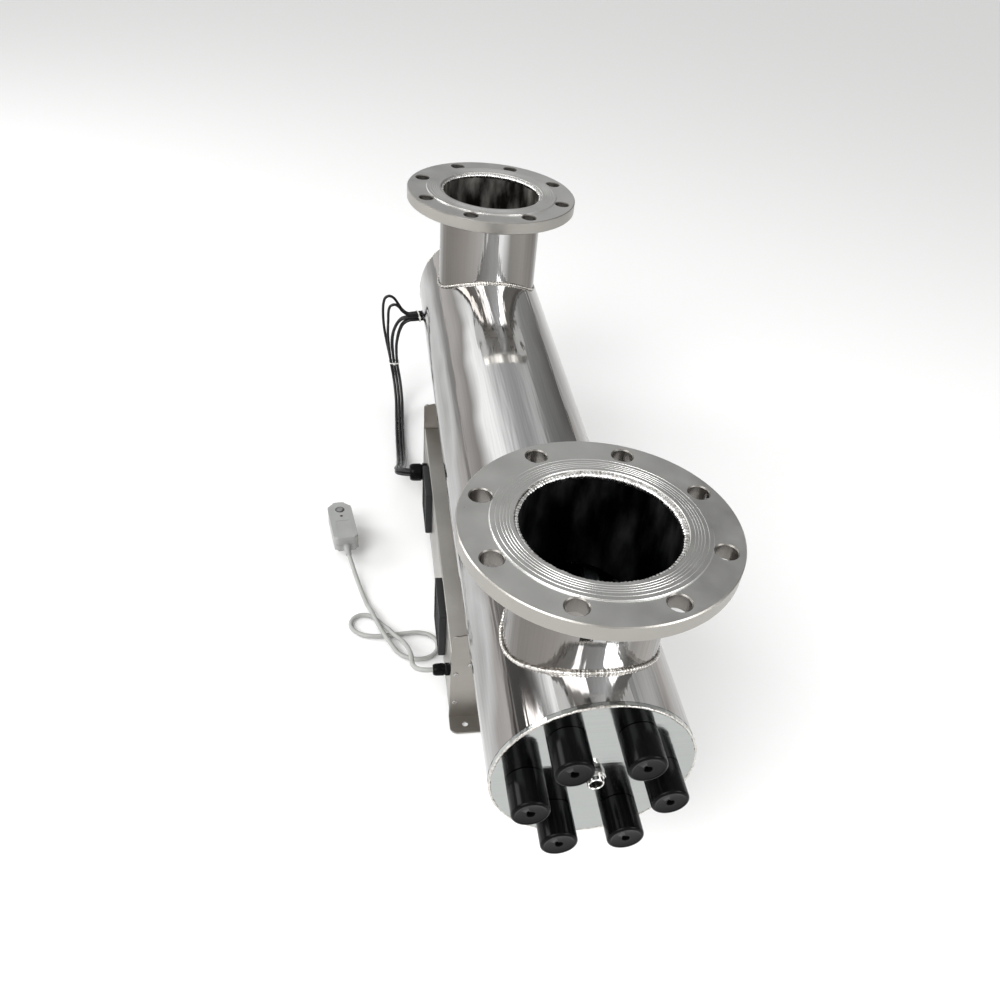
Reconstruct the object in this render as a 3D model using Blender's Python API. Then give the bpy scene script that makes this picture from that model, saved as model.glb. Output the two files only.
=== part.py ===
"""Six-lamp ultraviolet water clarifier: flanged steel chamber on two saddles, control box below.

Frame: Z up, floor at Z = 0, the chamber's axis runs along Y above the origin, front end at -Y.
All sizes are in metres.
"""
import math

import bmesh
import bpy
from mathutils import Matrix, Vector

# ---------------------------------------------------------------- clearances
GAP = 0.0003                    # between two pieces that touch
RUNNING = 0.0006                # around a piece that moves

# ---------------------------------------------------------------- sides of round shapes
CHAMBER_SIDES = 44
PORT_SIDES = 32
FLANGE_SIDES = 40
HOLE_SIDES = 10
LAMP_SIDES = 12                 # sockets, sleeves and caps, which fit each other
SMALL_SIDES = 14
ROD_SIDES = 10
FAN_SIDES = 20

# ---------------------------------------------------------------- chamber
CHAMBER_LENGTH = 1.132          # over both end plates
CHAMBER_RADIUS = 0.110
CHAMBER_WALL = 0.003
CHAMBER_CLEARANCE = 0.018       # between the box and the chamber above it
END_PLATE = 0.006               # end plate thickness
PORT_INSET = 0.1265             # port axis from the chamber's end

# ---------------------------------------------------------------- ports
NECK_RADIUS = 0.08415
NECK_WALL = 0.003
FLANGE_RADIUS = 0.1397
FLANGE_THICKNESS = 0.018
FLANGE_RISE = 0.122             # raised face above the chamber's top
RAISED_FACE_RADIUS = 0.10795
RAISED_FACE = 0.0016
NECK_SETBACK = 0.005            # neck end below the raised face
BOLT_CIRCLE_RADIUS = 0.12065
BOLT_HOLE_RADIUS = 0.0111
BOLT_HOLES = 8

# ---------------------------------------------------------------- lamps
LAMPS = 6
LAMP_INSET = 0.0375             # lamp axes from the chamber's outside
SLEEVE_RADIUS = 0.0115          # quartz sleeve
SLEEVE_WALL = 0.0015
LAMP_RADIUS = 0.0078
LAMP_PIN_RADIUS = 0.0030
LAMP_PIN_LENGTH = 0.006
LAMP_SETBACK = 0.004            # lamp end inside the sleeve end
SOCKET_WALL = 0.0030            # threaded socket on the end plate, around the sleeve
SOCKET_LENGTH = 0.020
CAP_WALL = 0.0055               # around the socket
CAP_LENGTH = 0.043              # end plate to the cap's outer face
CAP_FACE = 0.018                # thickness of the cap's closed end
CAP_HOLE_RADIUS = 0.0040
CAP_EDGE = 0.0020               # rounded outer edge
CENTRE_BORE_RADIUS = 0.0070     # open fitting in the middle of the front plate
CENTRE_NOSE_RADIUS = 0.0088
CENTRE_COLLAR_RADIUS = 0.0110
CENTRE_COLLAR = 0.006
CENTRE_SHOULDER = 0.001
CENTRE_LENGTH = 0.014

# ---------------------------------------------------------------- saddles
SADDLE_SPACING = 0.568          # between the middles of the two plates
SADDLE_PLATE = 0.0025
SADDLE_OVERHANG = 0.001         # beyond each side of the box
SADDLE_TOP_DROP = 0.075         # arm tops below the chamber axis
SADDLE_CORNER = 0.006
FOOT_LENGTH = 0.030
FOOT_CORNER = 0.010
FOOT_SLOT_RADIUS = 0.0045
FOOT_SLOT_INSET = 0.022         # from the plate's side edge

# ---------------------------------------------------------------- control box
BOX_HALF_WIDTH = 0.118
BOX_BOTTOM = 0.008
BOX_HEIGHT = 0.113
BOX_WALL = 0.0015
FRONT_FAN_INSET = 0.1274        # fan axes from the box ends
REAR_FAN_INSET = 0.1524
FAN_COVER_DROP = 0.0025         # cover below the box top
FAN_FRAME_INSET = 0.002         # square frame inside the outline of its cover, each side
FAN_DEPTH = 0.025
FAN_RIM = 0.0025                # frame at its thinnest, beside the bore
FAN_HUB_RADIUS = 0.016
FAN_BLADES = 7
BLADE_TIP_CLEARANCE = 0.0015
BLADE_THICKNESS = 0.0016
BLADE_CHORD = 0.020
BLADE_PITCH = math.radians(38)
ROTOR_INSET = 0.003             # rotor shorter than the frame
STRUT = 0.003                   # motor bracket thickness
STRUT_ANGLE = math.radians(20)  # each of the four arms
FAN_COVER = 0.084               # square cover outside the box
FAN_COVER_DEPTH = 0.010
COVER_WALL = 0.0018
COVER_SLOTS = 7
COVER_SLOT_HEIGHT = 0.0062
BALLAST_SIZE = (0.060, 0.210, 0.040)
BALLAST_X = 0.050
BALLAST_INSET = 0.1574          # ballast middles from the box ends

# ---------------------------------------------------------------- glands and cables
MAINS_GLAND_INSET = 0.0164      # gland axes from the box ends
LOOM_GLAND_INSET = 0.0834
GLAND_DROP = 0.037              # gland axes below the box top
MAINS_RADIUS = 0.0035
MAINS_GLAND_RADIUS = 0.0092
MAINS_GLAND_LENGTH = 0.024
LEAD_RADIUS = 0.0027
LEAD_PITCH = 0.0062             # between neighbouring leads in the bundle
LOOM_GLAND_RADIUS = 0.0160
LOOM_GLAND_LENGTH = 0.031
LOOM_BORE = 0.0106
GLAND_SPIGOT = 0.0060           # threaded part that stands inside the box wall
LEAD_SETBACK = 0.0035           # cable start outside the box wall
CAP_ENTRY = 0.004               # lead end inside the cap's hole
CABLE_STEP = 8                  # straight stretch between a cable's points, in radii
TIE_WIDTH = 0.0035
TIE_THICKNESS = 0.0011
BUNDLE_TIE_SLACK = 0.0009       # between the tie and the straight leads
REAR_TIE_SLACK = 0.0015         # this one holds them in a bend
TIE_LOCK = (0.006, 0.004, 0.0055)

# ---------------------------------------------------------------- plug
PLUG_SIZE = (0.040, 0.097, 0.028)
PLUG_CENTRE = (-0.2670, 0.1165)
PLUG_YAW = math.radians(8.5)
PLUG_EDGE = 0.003
PIN_LENGTH = 0.018
PIN_SIZE = (0.0015, 0.0060)
PIN_PLACES = (
    ("live_pin", 0.008, 0.010, 30), ("neutral_pin", -0.008, 0.010, -30), ("earth_pin", 0, -0.010, 90),
)                               # across, along, and turned by so many degrees
BUTTON_RADIUS = 0.0055
BUTTON_DEPTH = 0.0045
BUTTON_PROUD = 0.0016
BUTTON_TRAVEL = 0.0015
BUTTON_WELL_SPARE = 0.0007      # below the button when pressed
BUTTON_Y = 0.028                # along the plug from its middle
PLUG_NEAR_CORNER = 0.009
PLUG_FAR_CORNER = 0.0175

# ---------------------------------------------------------------- worked out from the above
HALF_LENGTH = CHAMBER_LENGTH / 2
PORT_YS = (PORT_INSET - HALF_LENGTH, HALF_LENGTH - PORT_INSET)
BOX_TOP = BOX_BOTTOM + BOX_HEIGHT
AXIS_HEIGHT = BOX_TOP + CHAMBER_CLEARANCE + CHAMBER_RADIUS
NECK_INNER = NECK_RADIUS - NECK_WALL
RAISED_TOP_Z = AXIS_HEIGHT + CHAMBER_RADIUS + FLANGE_RISE
LAMP_CIRCLE_RADIUS = CHAMBER_RADIUS - LAMP_INSET
SLEEVE_HALF = HALF_LENGTH + SOCKET_LENGTH
LAMP_HALF = SLEEVE_HALF - LAMP_SETBACK
SOCKET_BORE = SLEEVE_RADIUS + GAP
SOCKET_RADIUS = SLEEVE_RADIUS + SOCKET_WALL
CAP_BORE = SOCKET_RADIUS + GAP
CAP_RADIUS = CAP_BORE + CAP_WALL
SADDLE_YS = (-SADDLE_SPACING / 2, SADDLE_SPACING / 2)
SADDLE_HALF_WIDTH = BOX_HALF_WIDTH + SADDLE_OVERHANG
SADDLE_TOP = AXIS_HEIGHT - SADDLE_TOP_DROP
BOX_HALF_LENGTH = SADDLE_SPACING / 2 - SADDLE_PLATE / 2 - GAP
FAN_YS = (FRONT_FAN_INSET - BOX_HALF_LENGTH, BOX_HALF_LENGTH - REAR_FAN_INSET)
FAN_Z = BOX_TOP - FAN_COVER_DROP - FAN_COVER / 2
FAN_FRAME = FAN_COVER - 2 * FAN_FRAME_INSET
FAN_BORE_RADIUS = FAN_FRAME / 2 - FAN_RIM
MAINS_GLAND_Y = MAINS_GLAND_INSET - BOX_HALF_LENGTH
LOOM_GLAND_Y = BOX_HALF_LENGTH - LOOM_GLAND_INSET
GLAND_Z = BOX_TOP - GLAND_DROP
CABLE_START_X = -BOX_HALF_WIDTH - LEAD_SETBACK
PLUG_BOTTOM = PIN_LENGTH + GAP
PLUG_TOP = PLUG_BOTTOM + PLUG_SIZE[2]
CORD_ENTRY_Z = PLUG_BOTTOM + 0.0097           # cable axis where it enters the plug

# ---------------------------------------------------------------- cable routes, points chosen by hand
MAINS_ROUTE = [
    (CABLE_START_X, MAINS_GLAND_Y, GLAND_Z), (-0.1420, MAINS_GLAND_Y, GLAND_Z),
    (-0.1530, -0.2650, 0.0833), (-0.1625, -0.2585, 0.0795), (-0.1680, -0.2450, 0.0725),
    (-0.1685, -0.2250, 0.0610), (-0.1685, -0.2010, 0.0465), (-0.1710, -0.1760, 0.0325),
    (-0.1775, -0.1500, 0.0205), (-0.1890, -0.1290, 0.0130),
    (-0.1985, -0.1130, 0.0112), (-0.2065, -0.0990, 0.0055), (-0.2150, -0.0855, 0.0036),
    (-0.2270, -0.0745, 0.0036), (-0.2410, -0.0725, 0.0036), (-0.2525, -0.0805, 0.0036),
    (-0.2560, -0.0940, 0.0036), (-0.2500, -0.1070, 0.0036), (-0.2370, -0.1160, 0.0036),
    (-0.2180, -0.1200, 0.0036), (-0.1960, -0.1190, 0.0036), (-0.1730, -0.1165, 0.0036),
    (-0.1520, -0.1160, 0.0036), (-0.1350, -0.1230, 0.0036), (-0.1255, -0.1370, 0.0036),
    (-0.1255, -0.1530, 0.0036), (-0.1350, -0.1665, 0.0036), (-0.1510, -0.1720, 0.0036),
    (-0.1680, -0.1690, 0.0036), (-0.1840, -0.1590, 0.0040), (-0.1975, -0.1400, 0.0105),
    (-0.2080, -0.1170, 0.0112), (-0.2170, -0.0920, 0.0112), (-0.2235, -0.0720, 0.0112),
    (-0.2295, -0.0520, 0.0055), (-0.2365, -0.0250, 0.0036), (-0.2450, 0.0060, 0.0090),
    (-0.2530, 0.0330, 0.0215), (-0.2582, 0.0520, 0.0275),
]
LOOM_ROUTE = [
    (CABLE_START_X, LOOM_GLAND_Y, GLAND_Z), (-0.1480, LOOM_GLAND_Y, GLAND_Z), (-0.1570, 0.2008, 0.0834),
    (-0.1635, 0.2070, 0.0808), (-0.1660, 0.2175, 0.0758), (-0.1650, 0.2330, 0.0675),
    (-0.1625, 0.2570, 0.0525), (-0.1600, 0.2920, 0.0330),
    (-0.1580, 0.3350, 0.0150), (-0.1570, 0.3800, 0.0068), (-0.1565, 0.4200, 0.0068),
    (-0.1555, 0.4620, 0.0072), (-0.1540, 0.5040, 0.0115), (-0.1530, 0.5420, 0.0250),
    (-0.1555, 0.5690, 0.0515), (-0.1609, 0.5830, 0.0866),
]
REAR_ROUTE = [
    (-0.1300, 0.5900, 0.1820), (-0.1215, 0.5905, 0.1826), (-0.1110, 0.5925, 0.1832),
    (-0.0995, 0.5970, 0.1820), (-0.0890, 0.6050, 0.1790),
]
LOOM_END = ((1, 0, 0), (0, -1, 0))            # column and row directions where each route ends
REAR_END = ((0, 0, -1), (0.6, -0.8, 0))
# each lead: its column and row in the bundle, its lamp, its arch beside the chamber, its way to the rear cap
LEAD_ROUTES = [
    ((-1, 0.5), 3,
     [(-0.1719, 0.5865, 0.1419), (-0.1708, 0.5865, 0.1740), (-0.1694, 0.5865, 0.1964),
      (-0.1658, 0.5865, 0.2047), (-0.1575, 0.5865, 0.2081), (-0.1495, 0.5865, 0.2038),
      (-0.1428, 0.5865, 0.1953)],
     [(-0.0810, 0.6150, 0.1960), (-0.0770, 0.6300, 0.2120), (-0.0745, 0.6400, 0.2300),
      (-0.0730, 0.6370, 0.2440)]),
    ((0, 0.5), 4,
     [(-0.1633, 0.5865, 0.1312), (-0.1591, 0.5865, 0.1558), (-0.1505, 0.5865, 0.1723),
      (-0.1425, 0.5865, 0.1788)],
     [(-0.0780, 0.6150, 0.1785), (-0.0660, 0.6300, 0.1790), (-0.0530, 0.6415, 0.1815),
      (-0.0405, 0.6390, 0.1855)]),
    ((1, 0.5), 5,
     [(-0.1548, 0.5865, 0.1238), (-0.1516, 0.5865, 0.1419), (-0.1473, 0.5865, 0.1563),
      (-0.1405, 0.5865, 0.1690)],
     [(-0.0770, 0.6170, 0.1690), (-0.0600, 0.6380, 0.1640), (-0.0350, 0.6540, 0.1620),
      (-0.0050, 0.6620, 0.1660), (0.0210, 0.6560, 0.1770), (0.0345, 0.6380, 0.1850)]),
    ((-1, -0.5), 2,
     [(-0.1746, 0.5945, 0.1262), (-0.1794, 0.5945, 0.1603), (-0.1804, 0.5945, 0.1902),
      (-0.1789, 0.5945, 0.2073), (-0.1751, 0.5945, 0.2180), (-0.1671, 0.5945, 0.2217),
      (-0.1588, 0.5945, 0.2178), (-0.1508, 0.5945, 0.2068), (-0.1436, 0.5940, 0.1960)],
     [(-0.0850, 0.6260, 0.1990), (-0.0790, 0.6460, 0.2250), (-0.0670, 0.6540, 0.2600),
      (-0.0500, 0.6500, 0.2900), (-0.0385, 0.6350, 0.3085)]),
    ((0, -0.5), 1,
     [(-0.1644, 0.5945, 0.1262), (-0.1607, 0.5945, 0.1486), (-0.1532, 0.5945, 0.1657),
      (-0.1440, 0.5940, 0.1768)],
     [(-0.0820, 0.6260, 0.1850), (-0.0700, 0.6520, 0.2000), (-0.0480, 0.6740, 0.2260),
      (-0.0180, 0.6780, 0.2600), (0.0100, 0.6680, 0.2900), (0.0300, 0.6460, 0.3075)]),
    ((1, -0.5), 0,
     [(-0.1554, 0.5945, 0.1155), (-0.1529, 0.5945, 0.1347), (-0.1487, 0.5945, 0.1518),
      (-0.1415, 0.5940, 0.1672)],
     [(-0.0815, 0.6240, 0.1655), (-0.0620, 0.6520, 0.1620), (-0.0300, 0.6740, 0.1680),
      (0.0100, 0.6820, 0.1880), (0.0450, 0.6720, 0.2150), (0.0670, 0.6480, 0.2410)]),
]

# ---------------------------------------------------------------- finishes: colour, roughness, metallic
FINISHES = {
    "polished_steel": ((0.78, 0.78, 0.77), 0.12, 1.0),
    "turned_steel": ((0.72, 0.72, 0.71), 0.35, 1.0),
    "brushed_steel": ((0.55, 0.53, 0.50), 0.38, 1.0),
    "black_rubber": ((0.015, 0.015, 0.016), 0.30, 0.0),
    "black_plastic": ((0.020, 0.020, 0.022), 0.45, 0.0),
    "black_lead": ((0.018, 0.018, 0.018), 0.35, 0.0),
    "grey_lead": ((0.62, 0.63, 0.61), 0.50, 0.0),
    "grey_plastic": ((0.55, 0.56, 0.55), 0.45, 0.0),
    "white_nylon": ((0.80, 0.80, 0.78), 0.50, 0.0),
    "quartz": ((0.85, 0.90, 0.92), 0.05, 0.0),
    "lamp_glass": ((0.80, 0.84, 0.88), 0.10, 0.0),
    "ballast_case": ((0.70, 0.71, 0.72), 0.40, 1.0),
    "brass": ((0.75, 0.60, 0.30), 0.30, 1.0),
}


# ---------------------------------------------------------------- scene helpers
def clear_scene():
    for old in list(bpy.data.objects):
        bpy.data.objects.remove(old, do_unlink=True)


def finish(name):
    material = bpy.data.materials.get(name)
    if material:
        return material
    colour, roughness, metallic = FINISHES[name]
    material = bpy.data.materials.new(name)
    material.use_nodes = True
    shader = material.node_tree.nodes["Principled BSDF"]
    shader.inputs["Base Color"].default_value = (*colour, 1.0)
    shader.inputs["Roughness"].default_value = roughness
    shader.inputs["Metallic"].default_value = metallic
    return material


def add_object(name, data, finish_name, place=Matrix.Identity(4), parent=None):
    piece = bpy.data.objects.new(name, data)
    bpy.context.scene.collection.objects.link(piece)
    piece.parent = parent
    piece.matrix_world = place
    if finish_name:
        piece.data.materials.clear()
        piece.data.materials.append(finish(finish_name))
    if piece.type == "MESH":
        data.shade_smooth()
        data.set_sharp_from_angle(angle=math.radians(35))
    return piece


def add_tool(name, data, place=Matrix.Identity(4)):
    tool = add_object(name, data, None, place)
    tool.hide_render = True
    tool.display_type = "WIRE"
    return tool


def boolean(piece, tool, operation="DIFFERENCE"):
    modifier = piece.modifiers.new(tool.name, "BOOLEAN")
    modifier.operation = operation
    modifier.solver = "EXACT"
    modifier.object = tool


def mesh_of(name, build):
    shape = bmesh.new()
    build(shape)
    bmesh.ops.recalc_face_normals(shape, faces=shape.faces)
    data = bpy.data.meshes.new(name)
    shape.to_mesh(data)
    shape.free()
    return data


# ---------------------------------------------------------------- shape helpers
def along_y(x, y, z):
    """Place a shape turned about Z so that its +Z points along +Y."""
    return Matrix.Translation((x, y, z)) @ Matrix.Rotation(math.radians(-90), 4, "X")


def along_minus_y(x, y, z):
    return Matrix.Translation((x, y, z)) @ Matrix.Rotation(math.radians(90), 4, "X")


def along_minus_x(x, y, z):
    return Matrix.Translation((x, y, z)) @ Matrix.Rotation(math.radians(-90), 4, "Y")


def turned(shape, profile, segments):
    """Turn a closed profile of (radius, height) points about Z; a profile that ends on the axis is solid."""
    solid = profile[0][0] == 0
    rings = []
    for radius, height in profile:
        if radius == 0:
            continue
        ring = []
        for step in range(segments):
            angle = 2 * math.pi * step / segments
            ring.append(shape.verts.new((radius * math.cos(angle), radius * math.sin(angle), height)))
        rings.append(ring)
    if solid:
        shape.faces.new(rings[0])
        shape.faces.new(rings[-1])
        pairs = list(zip(rings, rings[1:]))
    else:
        pairs = list(zip(rings, rings[1:] + rings[:1]))
    for lower, upper in pairs:
        for step in range(segments):
            after = (step + 1) % segments
            shape.faces.new((lower[step], lower[after], upper[after], upper[step]))


def turned_mesh(name, profile, segments):
    return mesh_of(name, lambda shape: turned(shape, profile, segments))


def rod_profile(radius, bottom, top):
    return [(0, bottom), (radius, bottom), (radius, top), (0, top)]


def ring_profile(inner, outer, bottom, top):
    return [(inner, bottom), (outer, bottom), (outer, top), (inner, top)]


def block(shape, size, centre=(0, 0, 0)):
    corners = bmesh.ops.create_cube(shape, size=1.0)["verts"]
    bmesh.ops.scale(shape, vec=size, verts=corners)
    bmesh.ops.translate(shape, vec=centre, verts=corners)


def block_mesh(name, size, centre=(0, 0, 0)):
    return mesh_of(name, lambda shape: block(shape, size, centre))


def slab_between(low, high):
    size = [b - a for a, b in zip(low, high)]
    centre = [(a + b) / 2 for a, b in zip(low, high)]
    return size, centre


def extruded(shape, outline, bottom, top):
    """Extrude a closed XY outline from bottom to top."""
    lower = [shape.verts.new((x, y, bottom)) for x, y in outline]
    upper = [shape.verts.new((x, y, top)) for x, y in outline]
    shape.faces.new(list(reversed(lower)))
    shape.faces.new(upper)
    for step in range(len(outline)):
        after = (step + 1) % len(outline)
        shape.faces.new((lower[step], lower[after], upper[after], upper[step]))


def rounded_outline(corners, steps=4):
    """Outline through (x, y, radius) corners, each with its own round."""
    points = []
    count = len(corners)
    for step, (x, y, radius) in enumerate(corners):
        corner = Vector((x, y))
        if radius == 0:
            points.append(corner)
            continue
        back = (Vector(corners[step - 1][:2]) - corner).normalized()
        ahead = (Vector(corners[(step + 1) % count][:2]) - corner).normalized()
        half = back.angle(ahead) / 2
        middle = corner + (back + ahead).normalized() * radius / math.sin(half)
        start = corner + back * radius / math.tan(half) - middle
        turn = start.angle_signed(corner + ahead * radius / math.tan(half) - middle)
        for part in range(steps + 1):
            angle = -turn * part / steps
            swung = Vector((start.x * math.cos(angle) - start.y * math.sin(angle),
                            start.x * math.sin(angle) + start.y * math.cos(angle)))
            points.append(middle + swung)
    return [(point.x, point.y) for point in points]


def lamp_place(lamp):
    angle = 2 * math.pi * lamp / LAMPS
    return LAMP_CIRCLE_RADIUS * math.cos(angle), AXIS_HEIGHT + LAMP_CIRCLE_RADIUS * math.sin(angle)


# ---------------------------------------------------------------- cables
def smooth_curve(points, steps=24):
    """Dense points on a centripetal Catmull-Rom curve through the route."""
    points = [Vector(point) for point in points]
    ends = [2 * points[0] - points[1], *points, 2 * points[-1] - points[-2]]
    dense = []
    for p0, p1, p2, p3 in zip(ends, ends[1:], ends[2:], ends[3:]):
        t1 = (p1 - p0).length ** 0.5
        t2 = t1 + (p2 - p1).length ** 0.5
        t3 = t2 + (p3 - p2).length ** 0.5
        for step in range(steps):
            t = t1 + (t2 - t1) * step / steps
            a1 = p0.lerp(p1, t / t1)
            a2 = p1.lerp(p2, (t - t1) / (t2 - t1))
            a3 = p2.lerp(p3, (t - t2) / (t3 - t2))
            b1 = a1.lerp(a2, t / t2)
            b2 = a2.lerp(a3, (t - t1) / (t3 - t1))
            dense.append(b1.lerp(b2, (t - t1) / (t2 - t1)))
    dense.append(points[-1])
    return dense


def smooth_route(points, spacing, turn=math.radians(28)):
    """Points on the curve, one for each spacing of length or turn of direction, whichever comes first."""
    dense = smooth_curve(points)
    measures = [0.0]
    last = (dense[1] - dense[0]).normalized()
    for before, after in zip(dense, dense[1:]):
        run = after - before
        heading = run.normalized()
        measures.append(measures[-1] + run.length / spacing + last.angle(heading) / turn)
        last = heading
    count = math.ceil(measures[-1])
    picked = [dense[0]]
    place = 0
    for step in range(1, count):
        target = measures[-1] * step / count
        while measures[place + 1] < target:
            place += 1
        share = (target - measures[place]) / (measures[place + 1] - measures[place])
        picked.append(dense[place].lerp(dense[place + 1], share))
    picked.append(dense[-1])
    return picked


def tube(name, route, radius, finish_name):
    curve = bpy.data.curves.new(name, "CURVE")
    curve.dimensions = "3D"
    curve.bevel_depth = radius
    curve.bevel_resolution = 2
    curve.use_fill_caps = True
    spline = curve.splines.new("POLY")
    path = smooth_route(route, CABLE_STEP * radius)
    spline.points.add(len(path) - 1)
    for spot, point in zip(spline.points, path):
        spot.co = (*point, 1.0)
    return add_object(name, curve, finish_name)


def bundle_frames(route, end_column, end_row):
    """Column and row directions along a route, carried back from its end without twist."""
    points = [Vector(point) for point in route]
    column = Vector(end_column)
    row = Vector(end_row)
    last = (points[-1] - points[-2]).normalized()
    frames = []
    for step in reversed(range(len(points))):
        before = points[max(step - 1, 0)]
        after = points[min(step + 1, len(points) - 1)]
        tangent = (after - before).normalized()
        turn = last.rotation_difference(tangent)
        column = turn @ column
        row = turn @ row
        frames.append((column.copy(), row.copy()))
        last = tangent
    return frames[::-1]


def strand(route, frames, seat):
    column, row = seat
    points = []
    for point, (across, over) in zip(route, frames):
        points.append(Vector(point) + across * column * LEAD_PITCH + over * row * LEAD_PITCH)
    return points


def lead_points(seat, lamp, arch, rear_run):
    loom_frames = bundle_frames(LOOM_ROUTE, *LOOM_END)
    rear_frames = bundle_frames(REAR_ROUTE, *REAR_END)
    cap_x, cap_z = lamp_place(lamp)
    cap_face = HALF_LENGTH + CAP_LENGTH
    into_cap = [(cap_x, cap_face + 2 * CAP_ENTRY, cap_z), (cap_x, cap_face - CAP_ENTRY, cap_z)]
    start = strand(LOOM_ROUTE, loom_frames, seat)
    behind = strand(REAR_ROUTE, rear_frames, seat)
    return [*start, *arch, *behind, *rear_run, *into_cap]


# ---------------------------------------------------------------- chamber
def make_chamber():
    half = HALF_LENGTH - END_PLATE - GAP
    profile = ring_profile(CHAMBER_RADIUS - CHAMBER_WALL, CHAMBER_RADIUS, -half, half)
    tube_mesh = turned_mesh("chamber_tube", profile, CHAMBER_SIDES)
    chamber = add_object("chamber_tube", tube_mesh, "polished_steel", along_y(0, 0, AXIS_HEIGHT))
    for name, y in zip(("front_port_cut", "rear_port_cut"), PORT_YS):
        profile = rod_profile(NECK_INNER, 0.25 * CHAMBER_RADIUS, 1.5 * CHAMBER_RADIUS)
        boolean(chamber, add_tool(name, turned_mesh(name, profile, PORT_SIDES),
                                  Matrix.Translation((0, y, AXIS_HEIGHT))))


def make_end_plate(name, place_function, y, centre_bore):
    """Disc with six threaded sockets; its own +Z points out of the chamber."""
    place = place_function(0, y, AXIS_HEIGHT)
    plate = add_object(name, turned_mesh(name, rod_profile(CHAMBER_RADIUS, -END_PLATE, 0), CHAMBER_SIDES),
                       "polished_steel", place)

    def lamp_rods(radius, bottom, top):
        def build(shape):
            for lamp in range(LAMPS):
                angle = 2 * math.pi * lamp / LAMPS
                before = set(shape.verts)
                turned(shape, rod_profile(radius, bottom, top), LAMP_SIDES)
                spot = (LAMP_CIRCLE_RADIUS * math.cos(angle), LAMP_CIRCLE_RADIUS * math.sin(angle), 0)
                bmesh.ops.translate(shape, vec=spot, verts=[v for v in shape.verts if v not in before])
        return build

    sockets = mesh_of(name + "_sockets", lamp_rods(SOCKET_RADIUS, -END_PLATE / 2, SOCKET_LENGTH))
    boolean(plate, add_tool(name + "_sockets", sockets, place), "UNION")
    bores = mesh_of(name + "_bores", lamp_rods(SOCKET_BORE, -2 * END_PLATE, 2 * SOCKET_LENGTH))
    boolean(plate, add_tool(name + "_bores", bores, place))
    if centre_bore:
        bore = turned_mesh(name + "_centre", rod_profile(centre_bore, -2 * END_PLATE, END_PLATE), SMALL_SIDES)
        boolean(plate, add_tool(name + "_centre", bore, place))


def make_centre_fitting():
    """Open threaded fitting: spigot through the plate, collar against it, round nose."""
    spigot = CENTRE_NOSE_RADIUS - GAP
    profile = [
        (CENTRE_BORE_RADIUS, -END_PLATE), (spigot, -END_PLATE), (spigot, GAP),
        (CENTRE_COLLAR_RADIUS, GAP), (CENTRE_COLLAR_RADIUS, CENTRE_COLLAR),
        (CENTRE_NOSE_RADIUS, CENTRE_COLLAR + CENTRE_SHOULDER), (CENTRE_NOSE_RADIUS, CENTRE_LENGTH),
        (CENTRE_BORE_RADIUS, CENTRE_LENGTH),
    ]
    add_object("centre_fitting", turned_mesh("centre_fitting", profile, SMALL_SIDES), "turned_steel",
               along_minus_y(0, -HALF_LENGTH, AXIS_HEIGHT))


def make_neck(name, y):
    foot = AXIS_HEIGHT + 0.5 * math.sqrt(CHAMBER_RADIUS ** 2 - NECK_RADIUS ** 2)
    top = RAISED_TOP_Z - NECK_SETBACK
    neck_mesh = turned_mesh(name, ring_profile(NECK_INNER, NECK_RADIUS, 0, top - foot), PORT_SIDES)
    neck = add_object(name, neck_mesh, "polished_steel", Matrix.Translation((0, y, foot)))
    saddle = rod_profile(CHAMBER_RADIUS + GAP, -2 * NECK_RADIUS, 2 * NECK_RADIUS)
    boolean(neck, add_tool(name + "_saddle", turned_mesh(name + "_saddle", saddle, CHAMBER_SIDES),
                           along_y(0, y, AXIS_HEIGHT)))


def make_flange(name, y):
    """Slip-on plate flange with a raised face; its own origin is on the raised face."""
    bore = NECK_RADIUS + GAP
    profile = [
        (bore, -RAISED_FACE - FLANGE_THICKNESS), (FLANGE_RADIUS, -RAISED_FACE - FLANGE_THICKNESS),
        (FLANGE_RADIUS, -RAISED_FACE), (RAISED_FACE_RADIUS, -RAISED_FACE), (RAISED_FACE_RADIUS, 0), (bore, 0),
    ]
    place = Matrix.Translation((0, y, RAISED_TOP_Z))
    flange = add_object(name, turned_mesh(name, profile, FLANGE_SIDES), "turned_steel", place)

    def build(shape):
        for hole in range(BOLT_HOLES):
            angle = 2 * math.pi * (hole + 0.5) / BOLT_HOLES
            before = set(shape.verts)
            turned(shape, rod_profile(BOLT_HOLE_RADIUS, -2 * FLANGE_THICKNESS, FLANGE_THICKNESS), HOLE_SIDES)
            spot = (BOLT_CIRCLE_RADIUS * math.cos(angle), BOLT_CIRCLE_RADIUS * math.sin(angle), 0)
            bmesh.ops.translate(shape, vec=spot, verts=[v for v in shape.verts if v not in before])

    boolean(flange, add_tool(name + "_holes", mesh_of(name + "_holes", build), place))


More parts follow.
